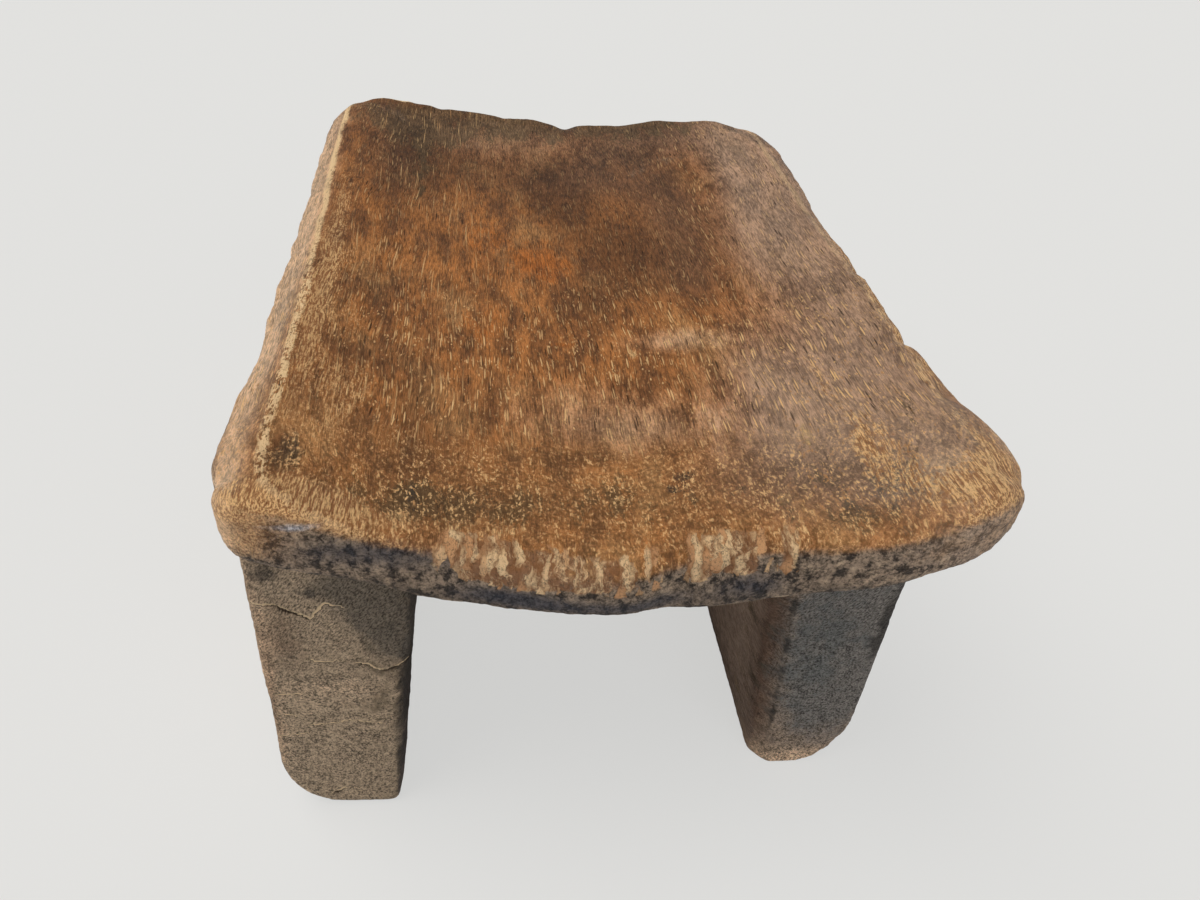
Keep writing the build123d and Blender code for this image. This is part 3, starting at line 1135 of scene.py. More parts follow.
    def _torn(self, lie: Lie) -> np.ndarray:
        """How torn the fibres are: in stretches along the front lip, and low along the back edge."""
        x, y = lie.place[:, 0], lie.place[:, 1]
        stretches = sum(s * np.exp(-(((x - at) / half) ** 2)) for at, half, s in self.seat.torn_stretches)
        lip = ease(*self.seat.torn_reach, lie.inset) * ease(0.5, 0.74, lie.height / lie.thickness)
        back = ease(200, 214, y) * ease(7, 2, lie.inset) * self.seat.torn_back * lie.on_seat
        return np.clip(stretches, 0, 1) * lip * ease(-150, -215, y) + back

    def _sunk(self, lie: Lie) -> np.ndarray:
        """How far the surface sinks in dents, and rises along the left ridge, in millimetres."""
        dents = self.seat.dents() + [d for leg in self.legs for d in leg.knocks]
        ridge = -self.seat.crest_rise * np.exp(-((lie.crest / self.seat.crest_width) ** 2))
        return bump_sum(lie.place, [(d.at, d.half, d.depth) for d in dents]) + ridge * lie.sit * lie.left

    def _stained(self, lie: Lie, stain: Stain) -> np.ndarray:
        """How much of a stain lies on the block. Golden fibre is bare along the seat's whole edge, too."""
        every = self.seat.patches() + [p for leg in self.legs for p in leg.marks]
        level = bump_sum(lie.place, [(p.at, p.half, p.strength) for p in every if p.stain is stain])
        return level + 0.5 * ease(6, 1, lie.inset) * lie.sit if stain is Stain.GOLD else level

    def crack_paths(self) -> bpy.types.Object:
        """One curve object whose straight splines are the cracks' paths."""
        curve = bpy.data.curves.new("crack_paths", "CURVE")
        curve.dimensions = "3D"
        for crack in self.seat.cracks() + [c for leg in self.legs for c in leg.splits]:
            spline = curve.splines.new("POLY")
            spline.points.add(len(crack.path) - 1)
            for point, at in zip(spline.points, crack.path):
                point.co = (*[value * MM for value in at], 1.0)
        made = bpy.data.objects.new("crack_paths", curve)
        bpy.context.scene.collection.objects.link(made)
        return made

    def seam(self, leg: Leg, plank: Plank) -> tuple[Vector, Vector]:
        """Plane in which a leg is parted from the seat: under the seat, and sloping as it does.

        Args:
            leg: The leg.
            plank: The seat's heights.

        Returns:
            A point on the plane and its upward normal.
        """
        low, high = leg.box()
        middle = (low + high) / 2
        corners = np.array([[x, y, 0] for x in (low.x, high.x) for y in (low.y, high.y)])
        heights = plank.underside(corners)
        left, right = heights[:2].mean(), heights[2:].mean()
        normal = Vector(((left - right) / (high.x - low.x), 0, 1)).normalized()
        level = min(plank.underside(np.array([[middle.x, middle.y, 0]]))[0], (left + right) / 2)
        return Vector((middle.x, middle.y, level - leg.seam_drop * MM)), normal

    @staticmethod
    def _round_leg(
        whole: bmesh.types.BMesh, leg: Leg, at: Vector, normal: Vector
    ) -> list[tuple[bmesh.types.BMFace, float]]:
        """Find the faces in and over a leg.

        Args:
            whole: The worked block.
            leg: The leg.
            at: A point of its seam.
            normal: The seam's upward normal.

        Returns:
            Each face, with its height above the seam in metres.
        """
        low, high = leg.box()
        margin = leg.seam_margin * MM
        found = []
        for face in whole.faces:
            c = face.calc_center_median()
            if low.x - margin < c.x < high.x + margin and low.y - margin < c.y < high.y + margin:
                found.append((face, (c - at).dot(normal)))
        return found

    def part(self, worked: bpy.types.Mesh, plank: Plank) -> dict[str, bpy.types.Mesh]:
        """Saw the worked block into the seat and its legs, and close each cut.

        Args:
            worked: The worked mesh of the whole block.
            plank: The seat's heights.

        Returns:
            A closed mesh for each CAD node.
        """
        whole = bmesh.new()
        whole.from_mesh(worked)
        owner = whole.faces.layers.int.new("owner")
        for number, leg in enumerate(self.legs, start=1):
            at, normal = self.seam(leg, plank)
            reach = leg.seam_above * MM
            sawn = [face for face, height in self._round_leg(whole, leg, at, normal) if height < reach]
            parts = list(dict.fromkeys(part for f in sawn for part in (f, *f.edges, *f.verts)))
            bmesh.ops.bisect_plane(whole, geom=parts, plane_co=at, plane_no=normal, dist=self.cut_snap)
            for face, height in self._round_leg(whole, leg, at, normal):
                if height < 0:
                    face[owner] = number
        whole.normal_update()
        kept = whole.verts.layers.float_vector.new("whole_normal")
        for vertex in whole.verts:
            vertex[kept] = vertex.normal
        names = [SEAT] + [leg.node for leg in self.legs]
        meshes = {name: self._closed(whole, number, name) for number, name in enumerate(names)}
        whole.free()
        return meshes

    @staticmethod
    def _closed(whole: bmesh.types.BMesh, number: int, name: str) -> bpy.types.Mesh:
        """Take one limb's faces, cap its cut, and keep the whole block's shading up to the cut's edge.

        Args:
            whole: The whole block, with its faces numbered by limb.
            number: The limb's number.
            name: The limb's name.

        Returns:
            The limb's closed mesh.
        """
        limb = whole.copy()
        owner = limb.faces.layers.int["owner"]
        bmesh.ops.delete(limb, geom=[f for f in limb.faces if f[owner] != number], context="FACES")
        rim = [e for e in limb.edges if e.is_boundary]
        cap = bmesh.ops.holes_fill(limb, edges=rim, sides=0)["faces"]
        capped = bmesh.ops.triangulate(limb, faces=cap)["faces"]
        limb.faces.index_update()
        cap_numbers = {f.index for f in capped}
        limb.normal_update()
        kept = limb.verts.layers.float_vector["whole_normal"]
        normals = []
        for face in limb.faces:
            face.smooth = True
            own = face.normal.copy()
            for corner in face.loops:
                normals.append(own if face.index in cap_numbers else corner.vert[kept].copy())
        mesh = bpy.data.meshes.new(name + "_worked")
        limb.to_mesh(mesh)
        limb.free()
        mesh.attributes.remove(mesh.attributes["whole_normal"])
        mesh.attributes.remove(mesh.attributes["owner"])
        mesh.normals_split_custom_set(normals)
        return mesh

    def build(self, wood: bpy.types.Material) -> dict[str, bpy.types.Mesh]:
        """Make the block and saw it into its limbs.

        Args:
            wood: The material that the block is worked in.

        Returns:
            A closed mesh for each CAD node.
        """
        plank = Plank(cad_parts[SEAT])
        block = self.merged()
        LOG.info("merged block: %d faces", len(block.data.polygons))
        self.refine(block.data, plank)
        self.weather(block.data, plank)
        cracks = self.crack_paths()
        worked = self.carving.apply(block, cracks, wood)
        LOG.info("worked block: %d faces", len(worked.polygons))
        for spent in (block, cracks):
            bpy.data.objects.remove(spent)
        return self.part(worked, plank)


# ---------------------------------------------------------------------------- finishes


@dataclass(frozen=True)
class Grain:
    """Textures that the layers of the finish share. Each is a socket that runs from 0 to 1, but for place."""

    place: object  # position in millimetres
    vessels: object  # long vessel lines
    shadows: object  # painted shadow along the edge of each one
    tone: object  # brightness of each one
    dashes: object  # short ones
    pores: object  # dark vessels
    curls: object  # curling end grain
    scratches: object  # long pale streaks
    rings: object  # growth rings, where the front lip cuts across them
    streak: object  # fine streaks along the grain
    cloud: object  # slow change of colour
    smear: object  # smudges of every size
    grit: object  # finest speckle
    clump: object  # its clumps
    flake: object  # torn lip
    ridge: object
    gaps: object

    @classmethod
    def of(cls, graph: Graph, place: object) -> "Grain":
        """Build the textures. The size of a texture's cell is given in millimetres across, along and up.

        Args:
            graph: The material's graph.
            place: Position in millimetres.

        Returns:
            The shared textures.
        """
        sway = graph.noise(graph.cells(place, (30, 60, 30)), detail=1.0, seed=4.0, output="Color")
        along = graph.vector("ADD", place, graph.vector("MULTIPLY", sway, (9.0, 6.0, 9.0)))
        twist = graph.noise(graph.cells(place, (6, 8, 6)), detail=1.0, seed=9.0, output="Color")
        curly = graph.vector("ADD", along, graph.scaled(twist, 4.0))
        vessel = graph.grains(graph.cells(along, (1.2, 14.0, 24.0)))
        dash = graph.grains(graph.cells(curly, (1.25, 3.4, 12.0)))
        scratch = graph.grains(graph.cells(along, (1.2, 50.0, 40.0)))
        edge = graph.step(vessel.outputs["Distance"], 0.34, 0.44)
        flake, ridge, gaps = torn_chips(graph, place)
        return cls(
            place=place,
            vessels=cls._marks(graph, vessel, (0.38, 0.26), (0.35, 0.5)),
            shadows=graph.times(edge, cls._marks(graph, vessel, (0.7, 0.5), (0.35, 0.5))),
            tone=graph.parts(vessel.outputs["Color"])[1],
            dashes=cls._marks(graph, dash, (0.4, 0.22), (0.35, 0.55)),
            pores=cls._marks(graph, vessel, (0.36, 0.2), (0.14, 0.08)),
            curls=graph.noise(graph.cells(curly, (1.4, 2.3, 1.4)), detail=2.0, roughness=0.7, seed=12.0),
            scratches=cls._marks(graph, scratch, (0.36, 0.2), (0.4, 0.7)),
            rings=cls._rings(graph, along),
            streak=graph.noise(graph.cells(along, (0.8, 6.0, 0.8)), detail=2.0, roughness=0.65, seed=1.0),
            cloud=graph.noise(graph.cells(along, (34, 60, 34)), detail=4.0, roughness=0.6, seed=2.0),
            smear=graph.noise(graph.cells(place, (11, 34, 12)), detail=7.0, roughness=0.68, seed=6.0),
            grit=graph.noise(graph.cells(place, (1.1, 1.6, 1.1)), detail=4.0, roughness=0.8, seed=7.0),
            clump=graph.noise(graph.cells(place, (4.2, 6.0, 4.2)), detail=3.0, roughness=0.6, seed=15.0),
            flake=flake,
            ridge=ridge,
            gaps=gaps,
        )

    @staticmethod
    def _marks(
        graph: Graph, cells: object, size: tuple[float, float], chance: tuple[float, float]
    ) -> bpy.types.NodeSocket:
        """Draw a mark in the middle of some of a Voronoi texture's cells.

        Args:
            graph: The material's graph.
            cells: The texture's node.
            size: Distances from a cell's middle at which its mark ends, and at which it is whole.
            chance: Random numbers of a cell that give it no mark, and a whole one.

        Returns:
            The marks, from 0 to 1.
        """
        lot = graph.parts(cells.outputs["Color"])[0]
        return graph.times(graph.step(cells.outputs["Distance"], *size), graph.step(lot, *chance))

    @staticmethod
    def _rings(graph: Graph, place: object) -> bpy.types.NodeSocket:
        """Growth rings round the tree's heart, which ran upright a little in front of the seat's middle."""
        across, deep, _ = graph.parts(place)
        offsets = (graph.plus(across, 8.0), graph.plus(deep, 120.0))
        radius = graph.math("SQRT", graph.plus(*(graph.math("POWER", offset, 2.0) for offset in offsets)))
        bands = graph.joined(graph.times(radius, 0.6), graph.times(across, 0.06))
        return graph.noise(bands, detail=3.0, roughness=0.6, seed=14.0)


@dataclass(frozen=True)
class StoolWood:
    """Finish of the wood: patina on the seat, end grain on the legs' ends, long grain on their sides, with
    painted light and shade on its ridges, relief, vessels, torn fibre, cracks and underside.
    """

    name: str
    brown: Triple = (184, 121, 68)
    umber: Triple = (140, 92, 56)
    honey: Triple = (196, 144, 92)
    gold: Triple = (252, 208, 148)
    # worn pale wood of the ridges, brightened into a painted highlight
    crest: Triple = (255, 219, 168)
    fibre: Triple = (168, 116, 74)
    pore: Triple = (40, 28, 20)
    lip: Triple = (136, 118, 100)
    lip_dark: Triple = (62, 54, 48)
    lip_light: Triple = (174, 152, 126)
    torn_pale: Triple = (246, 210, 162)
    torn_brown: Triple = (150, 108, 76)
    torn_orange: Triple = (196, 124, 70)
    end_grain: Triple = (160, 140, 116)
    crack_highlight: Triple = (216, 190, 152)
    side_grain: Triple = (140, 126, 114)
    side_dark: Triple = (108, 96, 88)
    seat_gloss: float = 0.42  # roughness of handled wood
    raw_gloss: float = 0.7  # and of raw wood
    sheen: float = 0.16  # strength of the wood's reflections
    relief: float = 0.9 * MM  # height of the finest relief

    def material(self) -> bpy.types.Material:
        """Build the material.

        Returns:
            A material that reads Object coordinates and the block's vertex attributes.
        """
        made = bpy.data.materials.new(self.name)
        made.use_nodes = True
        made.node_tree.nodes.clear()
        graph = Graph(made.node_tree)
        place = graph.scaled(graph.node("ShaderNodeTexCoord").outputs["Object"], 1 / MM)
        grain = Grain.of(graph, place)
        colour = graph.mix(self._read(graph, "sit"), self._rim(graph, grain), self._seat(graph, grain))
        colour = graph.mix(self._read(graph, "leg"), colour, self._leg(graph, grain))
        colour = self._stained(graph, grain, colour)
        colour = graph.scaled(colour, self._grain_tone_and_painted_relief(graph, grain))
        for layer in (self._veined, self._flecked, self._bared, self._painted_crest_light, self._torn, self._cracked):
            colour = layer(graph, grain, colour)
        shader = graph.node("ShaderNodeBsdfPrincipled")
        shader.inputs["Specular IOR Level"].default_value = self.sheen
        graph.feed(shader.inputs["Base Color"], colour)
        graph.feed(shader.inputs["Roughness"], self._roughness(graph, grain))
        graph.feed(shader.inputs["Normal"], self._bump(graph, grain))
        graph.feed(graph.node("ShaderNodeOutputMaterial").inputs["Surface"], shader.outputs[0])
        return made

    @staticmethod
    def _read(graph: Graph, name: str) -> bpy.types.NodeSocket:
        """Read a vertex attribute by name."""
        return graph.node("ShaderNodeAttribute", attribute_name=name).outputs["Fac"]

    @staticmethod
    def _front(graph: Graph, grain: Grain) -> bpy.types.NodeSocket:
        """1 near the front lip, where the top turns into end grain, and 0 farther back."""
        y = graph.parts(grain.place)[1]
        return graph.step(graph.plus(y, graph.times(grain.smear, 60.0)), -125.0, -155.0)

    @staticmethod
    def _behind(graph: Graph, grain: Grain) -> bpy.types.NodeSocket:
        """1 where the top is long grain, and 0 near the front lip."""
        return graph.math("SUBTRACT", 1.0, StoolWood._front(graph, grain))

    @staticmethod
    def _blended(graph: Graph, *shares: tuple[object, float]) -> bpy.types.NodeSocket:
        """Add up textures, each times its weight."""
        return graph.plus(*(graph.times(texture, weight) for texture, weight in shares))

    def _seat(self, graph: Graph, grain: Grain) -> bpy.types.NodeSocket:
        """Slowly changing browns of handled wood."""
        colour = graph.mix(graph.step(grain.smear, 0.36, 0.62), linear(self.umber), linear(self.brown))
        lighter = graph.step(grain.cloud, 0.5, 0.66, 0.0, 0.6)
        lighter = graph.plus(lighter, graph.times(self._front(graph, grain), 0.2))
        return graph.mix(lighter, colour, linear(self.honey))

    def _rim(self, graph: Graph, grain: Grain) -> bpy.types.NodeSocket:
        """Mottled rim, darkest underneath: dark end grain with painted shade under the seat's edge."""
        mottle = self._blended(graph, (grain.smear, 0.4), (grain.clump, 0.45), (grain.grit, 0.15))
        colour = graph.mix(graph.step(mottle, 0.5, 0.44, 0.0, 0.9), linear(self.lip), linear(self.lip_dark))
        colour = graph.mix(graph.step(mottle, 0.51, 0.62, 0.0, 0.8), colour, linear(self.lip_light))
        # darker towards the underside: painted shade over dark end grain
        low = graph.step(self._read(graph, "rise"), 0.5, 0.1, 0.0, 0.7)
        return graph.mix(graph.times(low, graph.step(grain.smear, 0.6, 0.4)), colour, linear(self.lip_dark))

    def _leg(self, graph: Graph, grain: Grain) -> bpy.types.NodeSocket:
        """End grain on the fronts and backs, long grain on the sides."""
        line = self._blended(graph, (grain.streak, 0.4), (grain.smear, 0.6))
        sides = graph.mix(graph.step(line, 0.42, 0.58), linear(self.side_dark), linear(self.side_grain))
        sides = graph.mix(graph.step(grain.cloud, 0.5, 0.62, 0.0, 0.5), sides, linear(self.lip))
        return graph.mix(self._read(graph, "ends"), sides, linear(self.end_grain))

    def _stained(self, graph: Graph, grain: Grain, colour: object) -> bpy.types.NodeSocket:
        """Lay the stains over a colour, some with a soft edge and some with a torn one. A painted shadow and
        a painted highlight are laid the same way.
        """
        soft = graph.plus(graph.times(grain.smear, 1.2), graph.times(grain.grit, 0.6), -0.9)
        torn = graph.plus(graph.times(grain.smear, 2.4), graph.times(grain.grit, 1.4), -1.9)
        for stain, tint in TINTS.items():
            amount = self._read(graph, stain.value)
            ragged = graph.times(torn, tint.torn) if tint.torn else soft
            edge = (0.4, 0.8) if tint.torn else (0.05, 1.0)
            there = graph.step(graph.plus(amount, ragged), *edge)
            there = graph.times(there, graph.step(amount, 0.02, 0.25), tint.most)
            colour = graph.mix(there, colour, linear(tint.colour))
        return colour

    def _grain_tone_and_painted_relief(self, graph: Graph, grain: Grain) -> bpy.types.NodeSocket:
        """Light and dark of the finest grain, as a factor on the colour. It rises with the same noise as the
        bump, so it also paints shade into the relief's pits and light onto its ridges.
        """
        coarse = self._blended(graph, (grain.grit, 0.35), (grain.curls, 0.4), (grain.clump, 0.25))
        rim = graph.step(coarse, 0.42, 0.58, 0.45, 1.6)
        front = self._front(graph, grain)
        swirl = self._blended(graph, (grain.curls, 0.6), (grain.rings, 0.4))
        line = graph.blend(front, grain.streak, swirl)
        fine = self._blended(graph, (line, 0.45), (grain.grit, 0.2), (grain.clump, 0.15), (grain.smear, 0.2))
        spread = graph.plus(graph.times(front, 0.1), 0.3)
        seat = graph.plus(graph.times(graph.step(fine, 0.43, 0.57, -1.0, 1.0), spread), 1.0)
        blotch = graph.step(graph.parts(grain.place)[1], 60.0, 170.0, 0.05, 0.2)
        seat = graph.plus(seat, graph.times(graph.step(grain.smear, 0.38, 0.62, -1.0, 1.0), blotch))
        factor = graph.blend(self._read(graph, "sit"), rim, seat)
        return graph.blend(self._read(graph, "leg"), factor, self._leg_tone_and_painted_relief(graph, grain))

    def _leg_tone_and_painted_relief(self, graph: Graph, grain: Grain) -> bpy.types.NodeSocket:
        """The same factor on a leg, whose ends are specked below and hatched by slanting adze lines above."""
        x, _, z = graph.parts(grain.place)
        across = self._blended(graph, (x, 0.82), (z, -0.57))
        up = self._blended(graph, (x, 0.57), (z, 0.82))
        slant = graph.joined(graph.times(across, 1.3), None, graph.times(up, 0.5))
        hatch = graph.noise(slant, detail=3.0, roughness=0.75, seed=11.0)
        upper = graph.step(graph.plus(z, graph.times(grain.smear, 60.0)), 120.0, 165.0, 0.0, 0.55)
        speck = self._blended(graph, (grain.grit, 0.7), (grain.clump, 0.2), (grain.smear, 0.1))
        ends = graph.step(graph.blend(upper, speck, hatch), 0.4, 0.6, 0.2, 1.8)
        sides = graph.step(grain.streak, 0.4, 0.6, 0.75, 1.25)
        return graph.blend(self._read(graph, "ends"), sides, ends)

    def _veined(self, graph: Graph, grain: Grain, colour: object) -> bpy.types.NodeSocket:
        """Dark vessels on the top, and a painted shadow along the edge of each pale one."""
        where = graph.times(self._read(graph, "sit"), self._behind(graph, grain))
        colour = graph.mix(graph.times(grain.pores, where, 0.7), colour, linear(self.pore))
        return graph.mix(graph.times(grain.shadows, where, 0.4), colour, linear(self.pore))

    def _flecked(self, graph: Graph, grain: Grain, colour: object) -> bpy.types.NodeSocket:
        """Golden vessel lines on the top, dots nearer the front, curls on its end grain, and scratches."""
        x, y, _ = graph.parts(grain.place)
        behind = self._behind(graph, grain)
        faint = graph.step(grain.smear, 0.38, 0.56, 0.4, 1.0)
        faint = graph.times(faint, graph.step(grain.tone, 0.0, 1.0, 0.3, 1.0))
        near = graph.step(graph.plus(y, graph.times(grain.smear, 80.0)), 60.0, -50.0, 0.25, 1.0)
        sideways = graph.math("ABSOLUTE", graph.plus(x, graph.times(grain.smear, 20.0)))
        beside = graph.step(sideways, 50.0, 100.0, 0.0, 0.55)
        lines = graph.times(grain.vessels, behind, faint, graph.math("MAXIMUM", near, beside))
        dots = graph.times(grain.dashes, graph.step(grain.clump, 0.4, 0.6, 0.15, 0.8), near)
        strewn = self._blended(graph, (grain.smear, 0.6), (grain.clump, 0.4))
        strewn = graph.step(strewn, 0.42, 0.56, 0.2, 0.9)
        curling = graph.times(graph.step(grain.curls, 0.54, 0.62), self._front(graph, grain), strewn)
        from_left = graph.math("ABSOLUTE", graph.plus(x, graph.times(grain.smear, 40.0), 72.0))
        left = graph.step(from_left, 60.0, 25.0, 0.1, 0.9)
        long = graph.times(grain.scratches, behind, left, graph.step(grain.smear, 0.38, 0.54, 0.1, 0.7))
        marks = lines
        for more in (dots, curling, long):
            marks = graph.math("MAXIMUM", marks, more)
        shade = graph.mix(graph.step(grain.tone, 0.0, 0.7), linear(self.honey), linear(self.gold))
        return graph.mix(graph.times(marks, self._read(graph, "sit")), colour, shade)

    def _bared(self, graph: Graph, grain: Grain, colour: object) -> bpy.types.NodeSocket:
        """Golden fibre where the top is worn bare."""
        worn = self._read(graph, Stain.GOLD.value)
        brushed = self._blended(graph, (grain.streak, 0.65), (grain.grit, 0.35))
        bare = graph.mix(graph.step(brushed, 0.46, 0.56), linear(self.fibre), linear(self.gold))
        bare = graph.mix(graph.step(brushed, 0.46, 0.38, 0.0, 0.9), bare, linear(self.umber))
        ragged = graph.plus(graph.times(grain.smear, 1.8), graph.times(grain.curls, 1.4), -1.6, worn)
        shown = graph.times(graph.step(ragged, 0.35, 0.8), graph.step(worn, 0.05, 0.4))
        return graph.mix(graph.times(shown, self._read(graph, "sit"), 0.85), colour, bare)

    def _painted_crest_light(self, graph: Graph, grain: Grain, colour: object) -> bpy.types.NodeSocket:
        """Painted highlight along each ridge, over its worn pale wood, whole at the back and broken into
        tufts in front, with painted shade just inside it.
        """
        y = graph.parts(grain.place)[1]
        side, along = self._read(graph, "crest_side"), self._read(graph, "crest")
        # painted shade along the sitting side of each ridge
        painted_inner_shade = graph.times(graph.step(side, -1.5, -4.5), graph.step(side, -16.0, -7.0), along, 0.25)
        colour = graph.mix(painted_inner_shade, colour, linear(self.umber))
        wander = graph.plus(graph.times(grain.smear, 9.0), graph.times(grain.grit, 5.0), -7.0)
        away = graph.math("ABSOLUTE", graph.plus(side, wander))
        away = graph.times(away, graph.step(y, 120.0, -120.0, 1.7, 1.5))
        tufts = self._blended(graph, (grain.curls, 0.4), (grain.clump, 0.35), (grain.streak, 0.25))
        whole, broken = graph.step(grain.streak, 0.3, 0.42), graph.step(tufts, 0.45, 0.53)
        kept = graph.blend(graph.step(y, 60.0, -60.0), whole, broken)
        faint = graph.step(grain.smear, 0.36, 0.5, 0.35, 1.0)
        # painted highlight along the ridge
        line = graph.times(graph.step(away, 4.6, 1.6), along, kept, faint)
        return graph.mix(line, colour, linear(self.crest))

    def _torn(self, graph: Graph, grain: Grain, colour: object) -> bpy.types.NodeSocket:
        """Lay the torn fibre of the lip over a colour: pale fibre with a painted highlight on its ridges, and
        painted shade in the gaps between its flakes.
        """
        torn = self._read(graph, "torn")
        # pale fibre with a painted highlight on its ridges
        lit = self._blended(graph, (grain.ridge, 0.6), (grain.flake, 0.25), (grain.clump, 0.3))
        fibre = graph.mix(graph.step(lit, 0.5, 0.64), linear(self.torn_brown), linear(self.torn_pale))
        fibre = graph.mix(graph.step(grain.flake, 0.8, 0.9, 0.0, 0.6), fibre, linear(self.torn_orange))
        fibre = graph.mix(graph.step(grain.grit, 0.48, 0.4, 0.0, 0.6), fibre, linear(self.lip_dark))
        # painted shade in the gaps between flakes
        fibre = graph.mix(graph.times(grain.gaps, 0.6), fibre, linear(self.umber))
        level = graph.plus(torn, graph.times(grain.flake, 0.7), graph.times(grain.smear, 1.4), -1.1)
        shown = graph.times(graph.step(level, 0.3, 0.5), graph.step(torn, 0.02, 0.25))
        return graph.mix(graph.times(shown, 0.92), colour, fibre)

    def _cracked(self, graph: Graph, grain: Grain, colour: object) -> bpy.types.NodeSocket:
        """Draw each crack: a dark line of painted shade in its groove, with a painted highlight along its
        upper lip.
        """
        side = self._read(graph, "crack_side")
        near = graph.step(self._read(graph, "crack_near"), 2.6, 1.4)
        # painted highlight along the crack's upper lip
        above = graph.times(graph.step(side, -0.1, 0.3), graph.step(side, 1.9, 1.3), near)
        above = graph.times(above, graph.step(grain.smear, 0.3, 0.42))
        # painted shade in the crack
        below = graph.times(graph.step(side, 0.1, -0.3), graph.step(side, -1.1, -0.6), near)
        below = graph.times(below, graph.step(grain.smear, 0.66, 0.5), 0.9)
        return graph.mix(below, graph.mix(above, colour, linear(self.crack_highlight)), linear(self.pore))

    def _roughness(self, graph: Graph, grain: Grain) -> bpy.types.NodeSocket:
        """Handled wood shines a little, and raw, torn and flecked wood doesn't."""
        handled = graph.step(grain.smear, 0.38, 0.62, self.seat_gloss, self.seat_gloss + 0.2)
        raw = graph.blend(self._read(graph, "sit"), self.raw_gloss - 0.12, handled)
        gloss = graph.blend(self._read(graph, "leg"), raw, self.raw_gloss)
        return graph.plus(gloss, graph.times(grain.dashes, 0.15))

    def _bump(self, graph: Graph, grain: Grain) -> bpy.types.NodeSocket:
        """Relief too fine for the mesh: vessel lines, pores, streaks, grit and smears."""
        lines = ((grain.vessels, 0.25), (grain.pores, -0.6), (grain.streak, 0.8))
        made = graph.node("ShaderNodeBump")
        made.inputs["Strength"].default_value = 1.0
        made.inputs["Distance"].default_value = self.relief
        height = self._blended(graph, *lines, (grain.grit, 1.4), (grain.smear, 1.6))
        graph.feed(made.inputs["Height"], height)
        return made.outputs[0]


# ---------------------------------------------------------------------------- the studio


@dataclass(frozen=True)
class Lamp:
    """A distant soft lamp."""

    name: str
    place: Triple  # direction that it shines from
    power: float  # watts per square metre
    spread: float  # how wide it looks from the stool, in degrees
    colour: Triple

    def build(self) -> None:
        """Make the lamp and aim it at the stool."""
        data = bpy.data.lights.new(self.name, "SUN")
        data.angle = math.radians(self.spread)
        data.energy = self.power
        data.color = linear(self.colour)[:3]
        lamp = bpy.data.objects.new(self.name, data)
        bpy.context.scene.collection.objects.link(lamp)
        lamp.rotation_euler = Vector(self.place).to_track_quat("Z", "Y").to_euler()


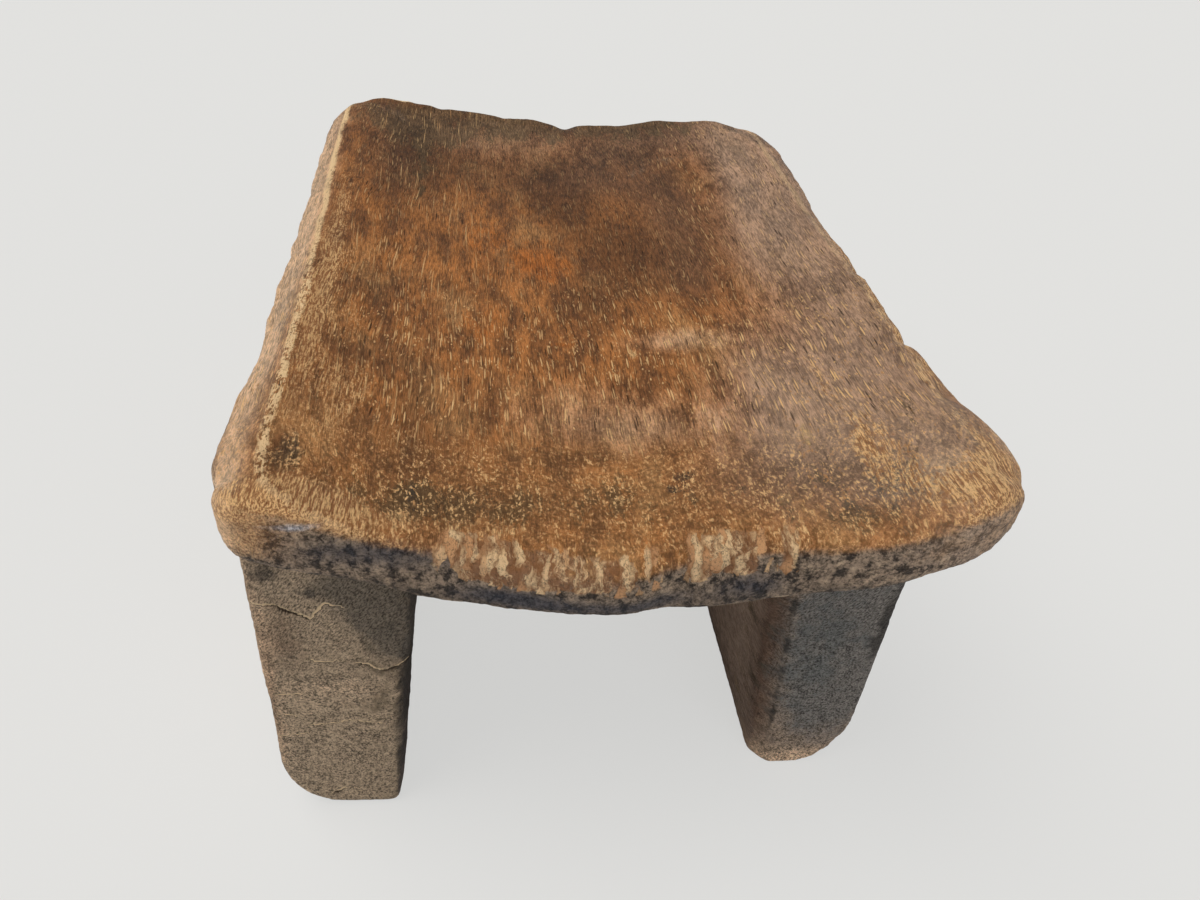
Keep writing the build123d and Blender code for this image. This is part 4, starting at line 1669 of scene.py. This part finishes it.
@dataclass(frozen=True)
class Studio:
    """Pale floor, soft light and the camera."""

    eye: Triple = (-0.0614, -0.4725, 0.43558)
    gaze: Triple = (0.0119314, 0.77233333, -0.6351054)
    lens: float = 27.0  # on a 36 mm sensor
    shift: float = 0.1
    floor_size: float = 14.0
    backdrop: Triple = (225, 225, 223)
    seen_share: float = 0.78  # share of the floor's brightness that the stool's shadow doesn't touch
    sky: float = 0.3
    paper: float = 0.9  # how much light the floor gives back
    lamps: tuple[Lamp, ...] = (
        Lamp("key", (-0.5, 0.05, 1.0), 1.9, 50.0, (255, 250, 242)),
        Lamp("fill", (0.25, -1.0, 0.45), 0.8, 60.0, (240, 245, 255)),
    )

    def build(self) -> None:
        """Make the floor, the lights and the camera."""
        self._world()
        self._floor()
        for lamp in self.lamps:
            lamp.build()
        self._camera()

    def _world(self) -> None:
        """A plain sky that lights evenly and looks like the backdrop to the camera."""
        world = bpy.data.worlds.new("studio")
        world.use_nodes = True
        world.node_tree.nodes.clear()
        graph = Graph(world.node_tree)
        seen = graph.node("ShaderNodeLightPath").outputs["Is Camera Ray"]
        shown = graph.node("ShaderNodeBackground")
        shown.inputs["Color"].default_value = linear(self.backdrop)
        lit = graph.node("ShaderNodeBackground")
        lit.inputs["Strength"].default_value = self.sky
        chosen = graph.node("ShaderNodeMixShader")
        for socket, value in zip(chosen.inputs, (seen, lit.outputs[0], shown.outputs[0])):
            graph.feed(socket, value)
        graph.feed(graph.node("ShaderNodeOutputWorld").inputs["Surface"], chosen.outputs[0])
        bpy.context.scene.world = world

    def _floor(self) -> None:
        """A wide floor whose own brightness keeps the shadow on it faint."""
        half = self.floor_size / 2
        mesh = bpy.data.meshes.new("floor")
        corners = [(-half, -half, 0), (half, -half, 0), (half, half, 0), (-half, half, 0)]
        mesh.from_pydata(corners, [], [(0, 1, 2, 3)])
        floor = bpy.data.objects.new("floor", mesh)
        bpy.context.scene.collection.objects.link(floor)
        material = bpy.data.materials.new("floor_paper")
        material.use_nodes = True
        material.node_tree.nodes.clear()
        graph = Graph(material.node_tree)
        seen = graph.node("ShaderNodeLightPath").outputs["Is Camera Ray"]
        glow = graph.node("ShaderNodeEmission")
        glow.inputs["Color"].default_value = linear(self.backdrop)
        paper = graph.node("ShaderNodeBsdfDiffuse")
        paper.inputs["Color"].default_value = (self.paper, self.paper, self.paper, 1.0)
        chosen = graph.node("ShaderNodeMixShader")
        share = graph.times(seen, self.seen_share)
        for socket, value in zip(chosen.inputs, (share, paper.outputs[0], glow.outputs[0])):
            graph.feed(socket, value)
        graph.feed(graph.node("ShaderNodeOutputMaterial").inputs["Surface"], chosen.outputs[0])
        mesh.materials.append(material)

    def _camera(self) -> None:
        """Stand the camera in front of the stool, looking down at it."""
        data = bpy.data.cameras.new("camera")
        data.sensor_width = 36.0
        data.lens = self.lens
        data.shift_x = self.shift
        data.clip_start = 0.01
        camera = bpy.data.objects.new("camera", data)
        bpy.context.scene.collection.objects.link(camera)
        camera.location = self.eye
        camera.rotation_euler = Vector(self.gaze).to_track_quat("-Z", "Y").to_euler()
        bpy.context.scene.camera = camera


# ---------------------------------------------------------------------------- the stool


def dress(meshes: dict[str, bpy.types.Mesh], materials: dict[str, bpy.types.Material]) -> None:
    """Make a piece of each limb's mesh, in place of its CAD node.

    Args:
        meshes: A closed mesh for each CAD node.
        materials: The material for each material slot of the record.
    """
    for name, mesh in meshes.items():
        slot = "seat_wood" if name == SEAT else "leg_wood"
        mesh.materials.clear()
        mesh.materials.append(materials[slot])
        piece = bpy.data.objects.new(name + "_carved", mesh)
        bpy.context.scene.collection.objects.link(piece)
        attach(piece, BODY)
        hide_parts(name)
        triangles = sum(len(p.vertices) - 2 for p in mesh.polygons)
        LOG.info("%s: %d triangles", piece.name, triangles)


def main() -> None:
    """Build the studio and the stool."""
    logging.basicConfig(level=logging.INFO, format="%(name)s: %(message)s")
    bpy.context.scene.view_settings.view_transform = "Standard"
    Studio().build()
    materials = {name: StoolWood(name).material() for name in ("seat_wood", "leg_wood")}
    block = Block(Seat(), tuple(stool_legs()))
    dress(block.build(materials["seat_wood"]), materials)


if __name__ == "__main__":
    main()
